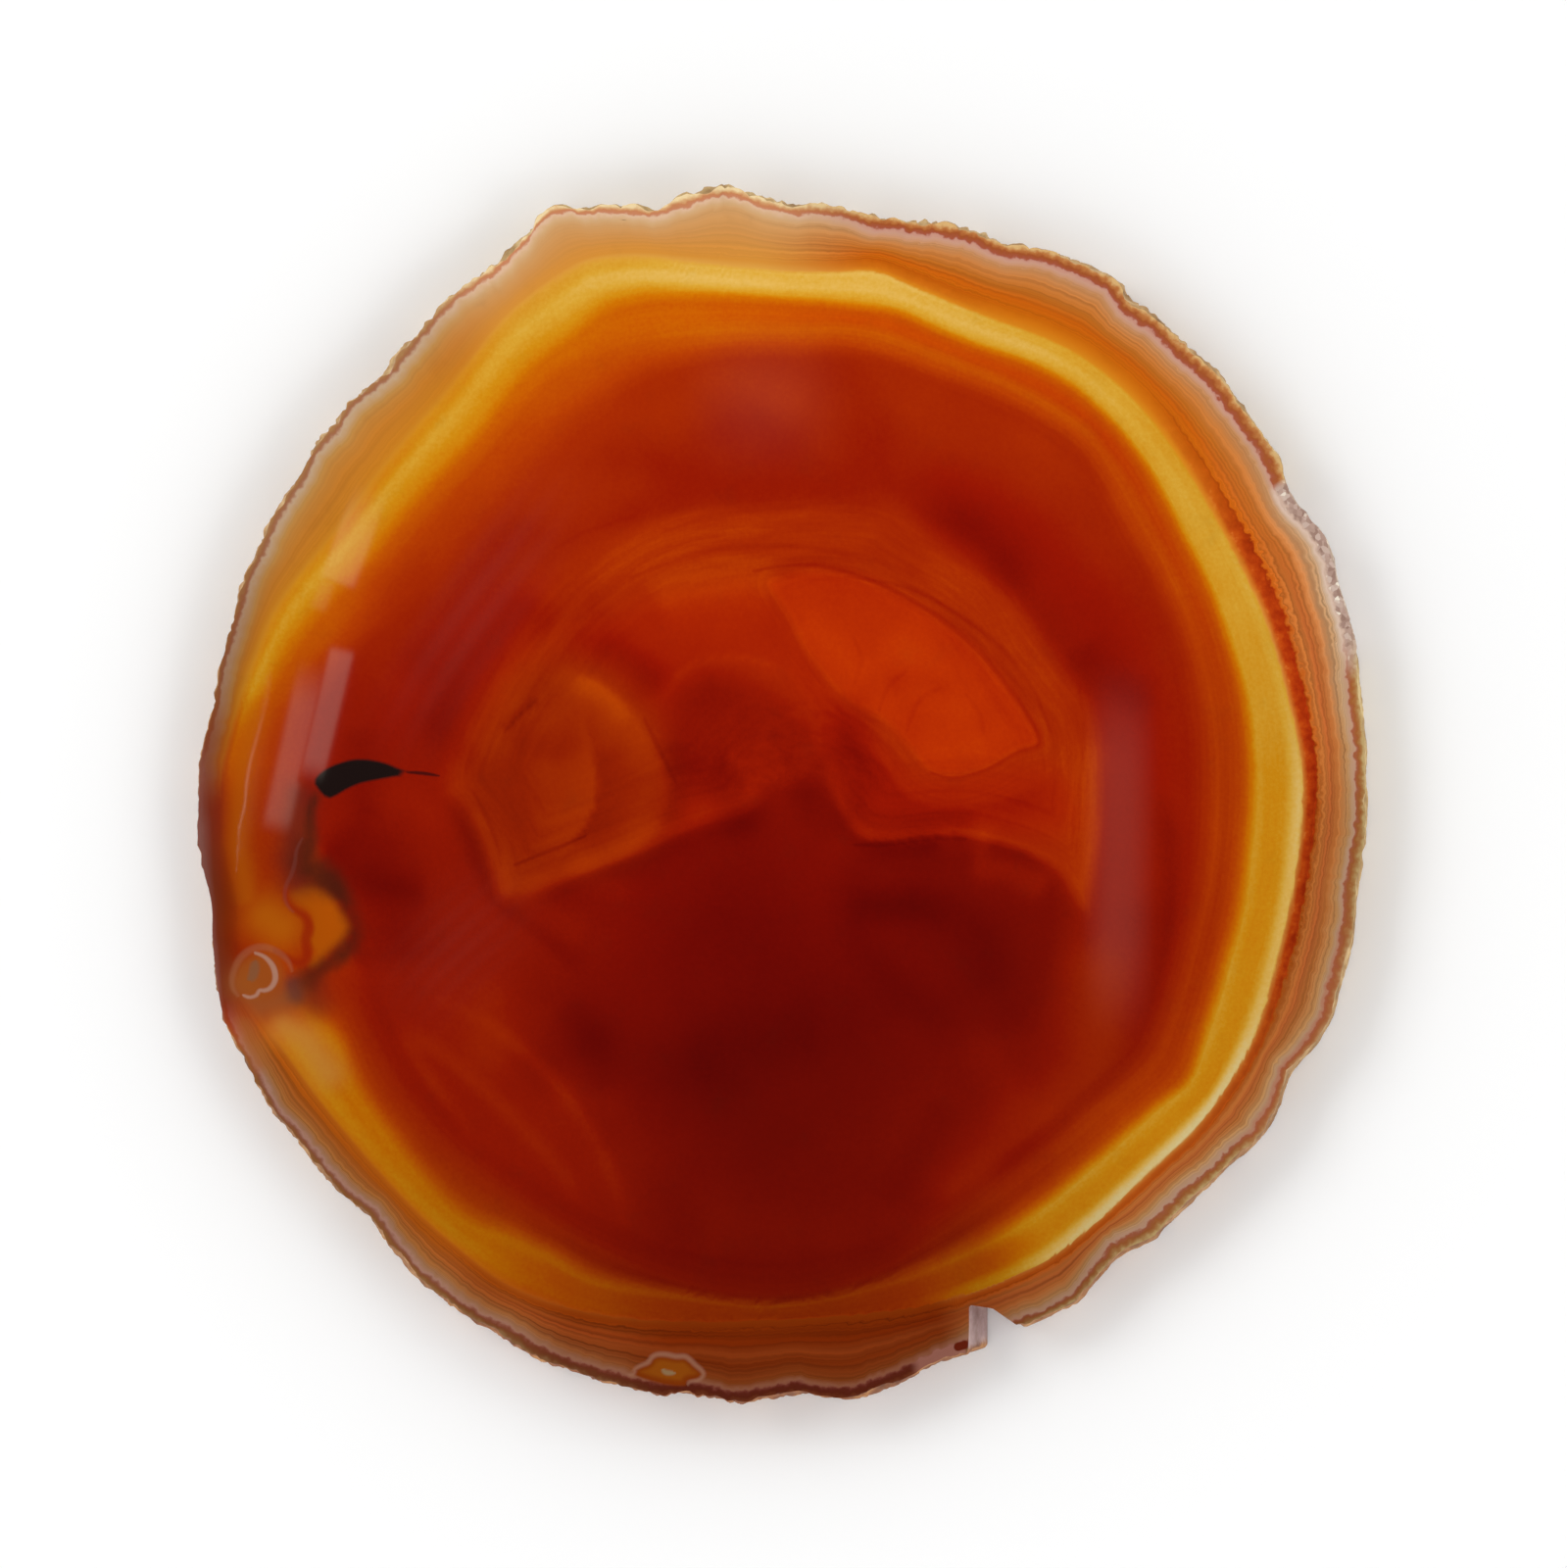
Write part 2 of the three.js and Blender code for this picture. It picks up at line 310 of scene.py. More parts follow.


# Lines read off the photograph, in its pixels: x and y of each point in turn
CREAM_OUTSIDE = [
    892, 274, 935, 293, 978, 312, 1023, 329, 1066, 344, 1105, 364, 1144, 395, 1175, 428, 1203, 467,
    1227, 507, 1249, 547, 1270, 588, 1289, 629, 1303, 672, 1314, 717, 1325, 762, 1329, 808, 1326, 855,
    1320, 900, 1311, 946, 1300, 990, 1287, 1037, 1269, 1080, 1244, 1119, 1215, 1157, 1180, 1188, 1146, 1221,
    1110, 1254, 1073, 1284, 1030, 1304, 984, 1321, 938, 1333, 890, 1339, 830, 1343, 766, 1346, 702, 1347,
    650, 1345, 600, 1338, 551, 1324, 509, 1304, 470, 1272, 433, 1240, 400, 1206, 367, 1169, 336, 1132,
    306, 1092, 270, 1040, 240, 1000, 225, 920, 218, 850, 224, 785, 240, 725, 262, 665, 281, 620, 310, 580,
    341, 544, 369, 507, 396, 471, 426, 435, 456, 401, 486, 360, 517, 322, 556, 290, 599, 264, 650, 260,
    702, 266, 750, 271, 800, 276, 850, 277,
]
CREAM_INSIDE = [
    615, 308, 661, 299, 708, 298, 760, 300, 802, 304, 878, 311, 913, 314, 955, 334, 1000, 353, 1058, 372,
    1096, 394, 1142, 438, 1176, 485, 1206, 546, 1227, 585, 1251, 650, 1271, 721, 1276, 785, 1271, 864,
    1258, 950, 1249, 980, 1228, 1050, 1212, 1104, 1182, 1124, 1145, 1157, 1104, 1193, 1045, 1240, 978, 1275,
    890, 1310, 820, 1328, 766, 1330, 690, 1318, 600, 1301, 566, 1278, 513, 1257, 477, 1249, 440, 1212,
    392, 1152, 358, 1102, 348, 1062, 300, 1015, 262, 950, 245, 880, 240, 820, 244, 770, 262, 714, 283, 672,
    311, 631, 343, 597, 375, 564, 400, 530, 428, 498, 460, 466, 486, 437, 512, 402, 543, 366, 580, 341,
]
AMBER_STRIPE = [
    630, 349, 725, 337, 821, 337, 859, 334, 897, 341, 955, 364, 1000, 380, 1058, 408, 1110, 441, 1140, 485,
    1167, 536, 1200, 600, 1225, 670, 1238, 740, 1240, 808, 1236, 880, 1222, 950, 1203, 1020, 1180, 1085,
    1120, 1135, 1040, 1200, 960, 1258, 880, 1306, 797, 1322, 700, 1310, 620, 1280, 540, 1235, 460, 1180,
    400, 1110, 360, 1030, 330, 980, 300, 880, 275, 800, 290, 735, 330, 665, 390, 605, 450, 530, 505, 455,
    560, 385,
]
SLIT_OUTLINE = [
    319, 797, 325, 788, 336, 781, 347, 777, 360, 774, 376, 774.5, 392, 778, 404, 783, 414, 786.5,
    426, 787.5, 426, 788.5, 410, 790, 396, 792, 380, 795, 366, 798, 352, 804, 340, 811, 332, 813, 325, 806,
]
SLIT_TIP = [412, 787, 430, 788, 448, 791]

# The dark smoke below the slit: points with their half width in pixels and their strength
SMOKE_TRAIL = [
    (322, 809, 7, 0.5), (316, 820, 7, 0.85), (314, 836, 8, 0.8), (315, 850, 12, 0.75), (312, 864, 16, 0.75),
    (314, 878, 19, 0.85), (323, 889, 19, 1.0), (334, 898, 17, 0.95), (343, 908, 14, 0.85),
    (350, 919, 12, 0.65), (357, 931, 12, 0.5), (361, 943, 12, 0.42), (359, 955, 12, 0.55),
    (353, 965, 13, 0.75), (345, 974, 14, 0.9), (335, 982, 13, 0.75), (324, 989, 14, 0.75),
    (312, 998, 16, 0.7), (303, 1006, 17, 0.75), (299, 1014, 16, 0.7),
]
SMOKE_COOL = [296, 1004, 299, 1014]
SMOKE_WISP = [308, 852, 301, 866, 299, 880, 295, 893, 290, 903, 289, 916, 293, 925, 300, 932]
AMBER_SPOT = [
    301, 906, 316, 902, 332, 910, 345, 925, 354, 943, 351, 955, 342, 967, 330, 979, 320, 987, 311, 983,
    316, 970, 307, 957, 314, 944, 312, 930, 300, 922, 294, 912,
]
RED_THREAD = [
    289, 903, 291, 918, 300, 928, 310, 935, 314, 946, 311, 957, 312, 968, 311, 979, 302, 982, 293, 977,
    286, 973, 275, 968,
]
RED_THREAD_WIDE = (1.6, 2.2, 3.2, 4.4, 6.0, 6.0, 5.6, 4.6, 4.0, 3.0, 2.2, 1.4)

# The whorl: its middle and radius, its bright ring with half widths, the faint ring around it and its heart
WHORL_MIDDLE = (262, 994)
WHORL_RADIUS = 24.0
WHORL_RING = [
    255, 971, 263, 973, 270, 977, 276, 984, 279, 992, 279, 1000, 275, 1007, 269, 1010, 263, 1010, 261, 1014,
    258, 1016, 252, 1017, 245, 1014,
]
WHORL_RING_WIDE = (0.8, 1.2, 1.7, 2.3, 2.6, 2.4, 2.0, 1.6, 1.4, 1.4, 1.3, 1.2, 0.8)
WHORL_HALO = [
    243, 1018, 236, 1008, 235, 997, 239, 984, 246, 974, 257, 967, 270, 966, 284, 972, 293, 981, 297, 992,
]
WHORL_HEART = [259, 979, 258, 987, 256, 995, 251, 1000]
# The redder lens in the upper right of the middle: its outline, and the fine dark line along its edge
LENS_OUTLINE = [
    782, 594, 800, 587, 830, 581, 878, 588, 929, 611, 980, 646, 1021, 690, 1050, 731, 1063, 760, 1037, 769,
    1005, 786, 973, 794, 945, 786, 925, 762, 900, 736, 871, 721, 848, 701, 822, 667, 802, 630,
]
LENS_LINE = [
    765, 583, 800, 577, 835, 577, 878, 588, 929, 611, 980, 646, 1021, 690, 1050, 731, 1062, 760, 1037, 769,
    1005, 786, 973, 794, 948, 788,
]

# The eye: its fill, the pale line over it, and its grey heart
EYE_OUTLINE = [
    646, 1401, 648, 1396, 655, 1392, 662, 1389, 665, 1384, 671, 1381, 680, 1381, 690, 1383, 699, 1383,
    705, 1387, 710, 1392, 716, 1397, 718, 1402, 712, 1406, 702, 1408, 699, 1413, 680, 1412, 660, 1407,
]
EYE_LINE = [
    640, 1402, 647, 1401, 648, 1396, 655, 1392, 662, 1389, 665, 1384, 671, 1381, 680, 1381, 690, 1383,
    699, 1383, 705, 1387, 710, 1392, 716, 1397, 718, 1402, 713, 1407, 704, 1409, 701, 1413,
]
EYE_MIDDLE = [676, 1394, 679, 1399, 690, 1400]

# Soft folds of colour inside the bands: line, reach to its left, reach to its right, change of paleness
FOLDS = [
    ([460, 800, 478, 735, 505, 680, 545, 620, 600, 572, 650, 538, 700, 520, 760, 513, 840, 511, 905, 516,
     945, 542, 990, 568, 1030, 600, 1060, 645, 1093, 692, 1115, 725, 1122, 775, 1120, 850, 1110, 925], 24,
     55, 0.04),
    ([430, 770, 470, 700, 515, 645, 560, 600], 26, 30, -0.1),
    ([600, 545, 700, 514, 800, 510, 880, 514, 930, 540], 16, 16, -0.06),
    ([1000, 560, 1045, 610, 1080, 660, 1102, 720, 1106, 790], 22, 24, -0.07),
    ([530, 720, 560, 670, 610, 640], 15, 30, -0.07),
    ([660, 618, 700, 598, 760, 593, 800, 603], 28, 30, 0.11),
    ([635, 690, 690, 705, 740, 690], 30, 28, -0.06),
    ([682, 750, 688, 800, 682, 848], 20, 24, -0.14),
    ([975, 535, 1025, 585], 28, 28, -0.08),
    ([870, 735, 895, 785], 24, 24, -0.08),
    ([565, 625, 600, 615], 25, 25, -0.08),
    ([1095, 655, 1140, 700, 1185, 715], 22, 22, -0.08),
    ([968, 860, 1000, 862], 16, 12, 0.12),
    ([1165, 900, 1165, 1050, 1145, 1180], 25, 25, -0.05),
    ([520, 715, 522, 790, 555, 882, 605, 888], 24, 24, -0.06),
    ([872, 798, 885, 838, 940, 846, 1005, 846], 20, 18, -0.13),
    ([985, 884, 1030, 888, 1072, 912], 18, 18, 0.13),
    ([700, 915, 780, 965, 865, 1015], 75, 75, -0.08),
    ([888, 922, 942, 926], 20, 20, -0.11),
    ([650, 1215, 780, 1205, 900, 1185], 85, 85, 0.06),
    ([1120, 935, 1126, 1060, 1090, 1125, 1030, 1200, 1000, 1255], 35, 35, 0.11),
    ([340, 830, 385, 900, 405, 1000], 42, 42, -0.14),
    ([555, 1085, 610, 1062], 30, 30, -0.09),
    ([1117, 740, 1120, 800, 1118, 860, 1108, 930], 6, 22, 0.05),
    ([548, 690, 575, 687, 605, 697, 637, 722, 657, 755, 675, 795, 673, 830, 652, 856, 620, 876, 575, 891,
     528, 903], 7, 22, 0.09),
    ([580, 692, 612, 702, 645, 738], 6, 18, 0.08),
    ([590, 735, 605, 765, 608, 800, 600, 830, 580, 857, 530, 882], 3, 35, 0.06),
    ([604, 760, 612, 800, 602, 840, 585, 862], 30, 3, -0.09),
    ([478, 822, 500, 866, 512, 903, 518, 920], 9, 7, 0.09),
    ([520, 915, 591, 891, 640, 872, 690, 850, 740, 835], 12, 6, 0.05),
    ([540, 915, 591, 895, 655, 870, 706, 847, 760, 831, 800, 806], 2, 25, -0.06),
    ([832, 745, 850, 790, 862, 830, 880, 851, 916, 857, 973, 851, 1010, 856], 13, 5, 0.07),
    ([862, 842, 880, 856, 916, 861, 973, 855, 1037, 868, 1080, 892], 2, 22, -0.08),
    ([838, 700, 870, 748, 905, 795, 928, 818, 970, 828, 1040, 815, 1088, 785], 4, 22, -0.07),
    ([512, 748, 530, 728, 550, 711], 6, 3, -0.1),
    ([540, 760, 575, 765, 598, 745], 20, 14, -0.07),
    ([600, 655, 640, 670, 680, 705], 16, 18, -0.09),
    ([720, 640, 760, 660, 800, 700], 30, 30, 0.02),
    ([560, 520, 500, 570, 450, 640, 415, 705], 22, 30, -0.08),
    ([900, 470, 980, 520, 1080, 580, 1150, 680, 1170, 790], 45, 40, -0.07),
    ([610, 470, 650, 460, 690, 480], 30, 25, -0.08),
    ([720, 440, 760, 430, 800, 445], 25, 30, -0.05),
    ([850, 360, 880, 400, 900, 450], 20, 40, -0.05),
    ([700, 370, 760, 385, 830, 420], 20, 20, 0.04),
    ([1178, 800, 1192, 850, 1195, 930, 1190, 1000, 1180, 1060], 12, 14, -0.1),
    ([425, 1080, 470, 1150, 505, 1215], 7, 7, 0.05),
    ([400, 1040, 480, 1100, 560, 1180, 600, 1240], 10, 8, 0.06),
    ([500, 1040, 570, 1110, 620, 1190, 645, 1265], 9, 9, 0.05),
    ([430, 1010, 520, 1060, 590, 1130, 630, 1210], 7, 6, 0.04),
    ([570, 1020, 600, 1060, 620, 1120], 20, 22, -0.07),
    ([690, 1085, 760, 1065, 850, 1055], 40, 30, -0.07),
    ([950, 915, 1000, 960, 1020, 1020], 30, 35, -0.08),
    ([970, 1120, 940, 1180, 900, 1240], 22, 22, -0.05),
    ([1040, 1080, 1000, 1200, 960, 1250], 30, 20, 0.05),
    ([600, 960, 560, 940, 520, 930], 18, 18, 0.05),
    ([440, 950, 480, 1000, 500, 1030], 40, 30, -0.03),
    ([380, 830, 420, 815, 450, 840], 24, 20, 0.05),
    ([330, 850, 350, 890, 400, 905, 440, 910], 18, 18, -0.1),
    ([455, 800, 475, 850, 505, 915, 560, 960, 600, 1000], 20, 8, -0.07),
    ([735, 770, 765, 775, 790, 745], 14, 12, 0.05),
    ([674, 715, 703, 680, 744, 670, 783, 676, 800, 690], 4, 4, 0.05),
    ([815, 625, 850, 660, 890, 700], 20, 24, 0.06),
    ([900, 640, 950, 690, 1000, 740], 34, 34, 0.08),
    ([930, 755, 970, 765, 1010, 752], 20, 18, 0.05),
    ([900, 700, 940, 690, 975, 710], 12, 12, -0.05),
    ([735, 800, 752, 832], 24, 24, -0.12),
    ([856, 768, 872, 800], 18, 18, -0.09),
    ([900, 725, 903, 775], 20, 20, 0.07),
    ([890, 535, 945, 582], 20, 20, -0.06),
    ([1070, 1120, 1010, 1190, 960, 1240], 38, 34, 0.07),
    ([690, 1245, 790, 1265, 880, 1262, 960, 1235], 40, 40, 0.08),
    ([670, 1092, 740, 1105], 36, 36, -0.05),
    ([475, 510, 520, 462, 560, 425], 20, 20, 0.07),
    ([1165, 470, 1192, 560, 1204, 630], 15, 15, 0.06),
    ([1050, 440, 1105, 475], 22, 26, 0.05),
    ([495, 790, 505, 860], 26, 26, -0.05),
    ([410, 1075, 425, 1115], 20, 20, 0.07),
    ([498, 1015, 502, 1068], 24, 24, 0.06),
    ([1000, 1045, 1010, 1078], 26, 26, 0.05),
    ([1075, 1140, 1108, 1162], 26, 26, 0.05),
    ([970, 1215, 1005, 1228], 28, 28, 0.06),
    ([595, 900, 630, 905], 18, 18, 0.06),
    ([598, 742, 612, 748], 16, 16, 0.05),
    ([838, 818, 845, 828], 14, 14, 0.05),
    ([362, 735, 370, 800, 366, 840], 20, 20, -0.06),
    ([352, 935, 360, 990], 16, 16, -0.06),
    ([480, 770, 484, 790], 16, 16, -0.06),
    ([600, 1140, 612, 1160], 20, 20, -0.05),
]
# The paler dome that takes up the upper part of the middle
DOME_OUTLINE = [
    455, 800, 470, 745, 495, 695, 525, 650, 560, 605, 600, 570, 645, 540, 690, 522, 735, 514, 800, 510,
    860, 510, 905, 515, 940, 540, 985, 565, 1025, 597, 1055, 641, 1090, 690, 1112, 720, 1122, 769,
    1120, 840, 1112, 900, 1108, 930, 1090, 905, 1075, 885, 1035, 866, 975, 853, 915, 858, 878, 852,
    855, 823, 835, 800, 800, 800, 779, 800, 760, 829, 706, 845, 655, 868, 591, 893, 518, 920, 505, 890,
    490, 850, 470, 820,
]

# Areas that are paler or darker as a whole: outline, softness of its edge, change of paleness
AREAS = [
    (DOME_OUTLINE, [(520, 640, 42), (700, 520, 26), (900, 515, 22), (1060, 640, 16), (1115, 800, 12),
     (1000, 858, 8), (700, 850, 12), (500, 880, 12)], 0.17),
    ([505, 745, 530, 710, 560, 690, 600, 697, 640, 725, 660, 760, 675, 795, 672, 833, 650, 860, 610, 880,
     560, 897, 522, 905, 505, 880, 490, 840, 487, 800], 12, -0.03),
    ([685, 745, 700, 705, 745, 690, 795, 705, 830, 745, 860, 800, 866, 845, 820, 830, 790, 790, 740, 800,
     700, 800], 22, -0.14),
    ([878, 866, 960, 858, 1040, 872, 1088, 920, 1078, 990, 1050, 1045, 960, 1050, 900, 1010, 850, 930], 22,
     -0.09),
    ([545, 1010, 640, 985, 700, 900, 770, 850, 850, 850, 900, 1000, 1060, 1060, 1080, 1150, 990, 1260,
     850, 1300, 700, 1290, 640, 1180, 600, 1080], 40, -0.07),
]

# Fine dark lines: line, half width at its middle, strength
DARK_LINES = [
    (LENS_LINE, 1.8, 0.32),
    ([520, 884, 545, 874, 572, 864, 598, 853], 1.5, 0.5),
    ([512, 749, 530, 728, 550, 710], 1.4, 0.2),
    ([870, 862, 905, 861, 950, 855, 990, 857], 2.6, 0.35),
    ([655, 730, 672, 765, 690, 800], 1.8, 0.25),
]
FAINT_LINES = [
    ([860, 588, 920, 598, 975, 625, 1022, 662, 1056, 708, 1074, 752], 1.5, 0.22),
    ([896, 728, 908, 700, 930, 682], 2.0, 0.14),
    ([925, 748, 938, 715, 962, 700], 2.0, 0.16),
    ([985, 706, 1000, 730, 1004, 752], 2.0, 0.12),
    ([870, 650, 880, 672, 872, 700], 2.0, 0.12),
    ([480, 805, 500, 845, 512, 885], 1.6, 0.2),
    ([560, 560, 600, 540, 650, 525], 2.0, 0.1),
    ([640, 590, 720, 562, 800, 556, 880, 566], 2.0, 0.14),
    ([1100, 700, 1106, 760, 1100, 850], 1.6, 0.14),
]

# Browner areas of the middle: outline, softness of the edge, strength
OCHRE_AREAS = [
    ([470, 815, 505, 725, 550, 675, 630, 680, 678, 750, 684, 835, 640, 882, 560, 900, 518, 912], 26, 0.5),
]

# Warmer, redder areas: outline, softness of the edge, strength
SCARLET_AREAS = [
    (LENS_OUTLINE, 8, 0.6),
    ([600, 640, 700, 600, 790, 600, 870, 720, 940, 790, 1040, 780, 1090, 800, 1080, 850, 900, 840, 860, 790,
     800, 700, 720, 680, 660, 720, 600, 690], 22, 0.45),
    ([960, 480, 1060, 520, 1160, 640, 1190, 800, 1150, 780, 1120, 700, 1060, 610, 960, 540], 30, 0.5),
    ([500, 600, 560, 590, 520, 680, 460, 720, 400, 760, 380, 720, 440, 650], 25, 0.4),
    ([640, 900, 780, 860, 900, 900, 1000, 1000, 1100, 1060, 1060, 1180, 900, 1260, 720, 1240, 620, 1100],
     40, 0.35),
]

# Small soft marks beside the whorl and the slit, and on the chip: lines that they fade from
DUSK_UPPER = [305, 812, 300, 850, 296, 875, 301, 896]
DUSK_LOWER = [318, 1006, 322, 1024]
GLOW_NEAR_WHORL = [270, 935, 285, 945]
GLOW_AT_RIM = [256, 728, 244, 790, 240, 860, 250, 915]
PALE_STREAK = [288, 1046, 310, 1060, 334, 1094]
DULL_RIM = [264, 690, 255, 740, 244, 800, 236, 870]
HALO_BELOW_WHORL = [246, 1004, 264, 1026, 290, 1018]
HALO_TAIL = [250, 1045, 262, 1085]
CHIP_SPOT = [977, 1373, 984, 1371]

# Single fine lines with a field of their own: line, half width in pixels, strength
STROKES = {
    "slit_tip": (SLIT_TIP, 1.6, 0.9),
    "red_thread": (RED_THREAD, RED_THREAD_WIDE, 0.85),
    "wisp": (SMOKE_WISP, 1.7, 0.17),
    "whorl_ring": (WHORL_RING, WHORL_RING_WIDE, 0.95),
    "whorl_halo": (WHORL_HALO, 3.0, 0.32),
    "whorl_heart": (WHORL_HEART, 5.0, 0.6),
    "eye_middle": (EYE_MIDDLE, 2.6, 0.7),
    "eye_line": (EYE_LINE, 2.0, 0.75),
}

# How far slow waves move the back's bands and the folds, in mm, and their length and seed. The back's
# bands move less and less over the last 8 mm before the rim.
BACK_SHIFT, BACK_WAVES = 2.2, (60, 4)
BACK_STILL_RIM = 8
FOLD_SHIFT, FOLD_WAVES = 0.35, (9, 11)
BASE_PALENESS = 0.28
FAR_OFF = 1e9

# Tables for by_bearing: (bearing in degrees, value) round the slice. First widths in mm: of the rind and
# the lavender line, how far the red middle ends inside the amber stripe, and of the red line
BAND_WIDTHS = {
    "rind": [
        (-160, 0.6), (-150, 0.6), (-130, 0.75), (-122, 0.75), (-115, 1.1), (-100, 1.2), (-80, 1.15),
        (-72, 1.0), (-62, 0.65), (-50, 1.5), (-40, 1.12), (-30, 0.6), (-20, 1.0), (-10, 1.4), (0, 1.05),
        (20, 1.16), (35, 1.6), (50, 1.55), (70, 1.2), (90, 1.0), (102, 0.95), (113, 0.45), (122, 0.85),
        (150, 0.85), (165, 0.65),
    ],
    "lavender": [
        (-160, 1.2), (-130, 1.25), (-110, 1.0), (-90, 0.8), (-60, 0.9), (-30, 1.1), (-10, 0.6), (10, 0.8),
        (35, 0.85), (60, 1.1), (80, 1.2), (100, 1.3), (115, 1.5), (150, 1.3),
    ],
    "inside_amber": [(-100, 3.6), (-20, 3.6), (60, 3.6), (95, 4.2), (115, 7.0), (145, 6.0), (165, 4.0)],
    "red_line": [
        (-150, 0.8), (-90, 0.8), (-60, 0.6), (-35, 1.0), (-10, 1.4), (15, 2.0), (27, 2.4), (40, 2.2),
        (62, 2.1), (85, 1.6), (120, 1.0), (170, 0.8),
    ],
}
# Then how the look changes round the slice: changes of paleness, painted shade (darker towards the bottom,
# a little lighter at the top), how blurred and red the outer bands are, how far the cream bands are kept,
# which skin colours hold, and the rest that the fields take up
RIM_LOOK = {
    "outer_glow": [
        (-150, 0.14), (-130, 0.11), (-90, -0.02), (-50, 0.1), (0, 0.1), (20, 0.16), (60, 0.17), (90, 0.19),
        (120, 0.2), (150, 0.17), (180, 0.05),
    ],
    "amber_lift": [
        (-150, -0.08), (-118, -0.09), (-100, -0.17), (-80, -0.17), (-60, -0.06), (-45, 0.01), (-20, -0.03),
        (0, 0.0), (15, 0.02), (30, 0.07), (60, 0.09), (80, 0.12), (95, 0.15), (120, 0.1), (130, 0.05),
        (142, 0.0), (152, -0.03), (160, 0.04), (170, 0.0), (190, 0.0),
    ],
    "early_lift": [
        (-80, 0.0), (-70, 0.06), (-64, 0.07), (-57, 0.0), (0, 0.0), (30, 0.0), (38, 0.05), (48, 0.0),
        (105, 0.0), (117, 0.06), (132, 0.07), (148, 0.05), (160, 0.0), (190, 0.0),
    ],
    "ochre_dip": [
        (-170, 0.0), (-155, 0.08), (-130, 0.05), (-110, 0.1), (-90, 0.06), (-60, 0.1), (-10, 0.08),
        (15, 0.03), (40, 0.0), (70, -0.04), (100, -0.07), (125, 0.0), (170, 0.0),
    ],
    "faded": [
        (-150, 0.04), (-125, 0.06), (-112, 0.14), (-98, 0.28), (-80, 0.3), (-68, 0.16), (-58, 0.0),
        (100, 0.0),
    ],
    "crest_lift": [
        (-160, -0.12), (-130, -0.12), (-110, -0.18), (-78, -0.15), (-66, 0.0), (-50, 0.08), (-35, 0.1),
        (-20, 0.0), (0, 0.02), (12, -0.05), (25, -0.06), (40, -0.1), (60, -0.08), (80, -0.01), (97, -0.04),
        (115, -0.09), (130, -0.13), (145, -0.15), (158, -0.12),
    ],
    "rim_shade": [
        (-160, 0.8), (-145, 0.72), (-125, 0.62), (-100, 0.46), (-88, 0.42), (-70, 0.5), (-58, 0.7),
        (-40, 0.8), (0, 0.84), (30, 0.92), (60, 0.97), (90, 1.04), (120, 0.98), (150, 0.92), (175, 0.8),
        (188, 0.72),
    ],
    "middle_shade": [(-130, 0.8), (-90, 0.62), (-50, 0.72), (0, 0.95), (60, 1.0), (120, 1.0), (180, 0.9)],
    "ruddy": [(-20, 0.0), (10, 0.05), (35, 0.3), (50, 0.5), (75, 0.42), (95, 0.2), (115, 0.1), (140, 0.0)],
    "blur": [
        (-175, 1.0), (-150, 0.9), (-125, 0.8), (-112, 0.3), (-60, 0.03), (40, 0.03), (75, 0.08), (95, 0.25),
        (108, 0.7), (118, 1.0), (175, 1.0),
    ],
    "redness": [
        (-165, 0.1), (-140, 0.15), (-100, 0.1), (-70, 0.2), (-50, 0.2), (-40, 0.25), (-28, 0.5),
        (-18, 0.95), (12, 1.0), (27, 0.9), (38, 0.45), (50, 0.1), (62, 0.05), (72, 0.3), (79, 0.3),
        (88, 0.05), (140, 0.0),
    ],
    # Where the wall takes the tan ramp: the rind's own tan on the right, and painted light along the top,
    # where the wall faces the light
    "olive": [
        (-160, 0.15), (-140, 0.25), (-110, 0.0), (-80, 0.05), (-60, 0.15), (-40, 0.25), (-20, 0.6),
        (10, 0.95), (30, 0.8), (50, 0.55), (80, 0.7), (110, 0.9), (130, 0.6), (160, 0.45), (180, 0.2),
    ],
    "kept": [(-178, 0.0), (-166, 0.0), (-160, 0.15), (-152, 1.0), (0, 1.0), (168, 1.0), (176, 0.55)],
    "top": [(-150, 0.0), (15, 0.0), (33, 0.7), (42, 1.0), (78, 1.0), (93, 0.0)],
    "crest": [(80, 0.0), (93, 1.0), (120, 1.0), (133, 0.0)],
    "upper_left": [(117, 0.0), (132, 1.0), (175, 1.0), (185, 0.0)],
    # The next two tables say where the skin takes the lower left's and the bottom's ramps, whose colours
    # hold painted shade
    "lower_left": [(-168, 0.0), (-152, 1.0), (-130, 1.0), (-121, 0.7), (-112, 0.3), (-102, 0.0)],
    "deep": [
        (-129, 0.0), (-120, 0.5), (-110, 0.85), (-100, 1.0), (-74, 1.0), (-70, 0.7), (-60, 0.3), (-48, 0.0),
    ],
    "skin_shade": [
        (-170, 0.9), (-155, 1.0), (-78, 1.0), (-68, 0.88), (-60, 0.78), (-48, 0.78), (-5, 0.79), (8, 0.97),
        (20, 1.02), (33, 0.99), (55, 0.97), (75, 1.0), (138, 1.0), (150, 0.92), (160, 0.88), (170, 0.84),
        (178, 0.74),
    ],
    "brown_edge": [
        (-172, 0.9), (-161, 0.85), (-156.5, 0.0), (0, 0.0), (150, 0.0), (165, 0.45), (176, 0.75),
    ],
    "rosy": [
        (-40, 0.0), (-34, -0.45), (-20, -0.45), (-8, 0.0), (4, 0.1), (12, 0.55), (26, 0.55), (32, 0.15),
        (40, 0.0),
    ],
    "mauve": [(-77.5, 0.0), (-76.3, 1.0), (-71.9, 1.0), (-71.6, 0.0)],
}


def all_by_bearing(degrees, tables):
    """Several values round the slice, by the names of their tables."""
    return SimpleNamespace(**{name: by_bearing(degrees, *stops) for name, stops in tables.items()})


def from_photo(points):
    """Points read off the photograph, as mm from the hub with Y up. One point, or x and y in turn."""
    points = np.array(points, float)
    if points.size > 2:
        points = points.reshape(-1, 2)
    return (points - HUB_PIXEL) * [PHOTO_PIXEL, -PHOTO_PIXEL]


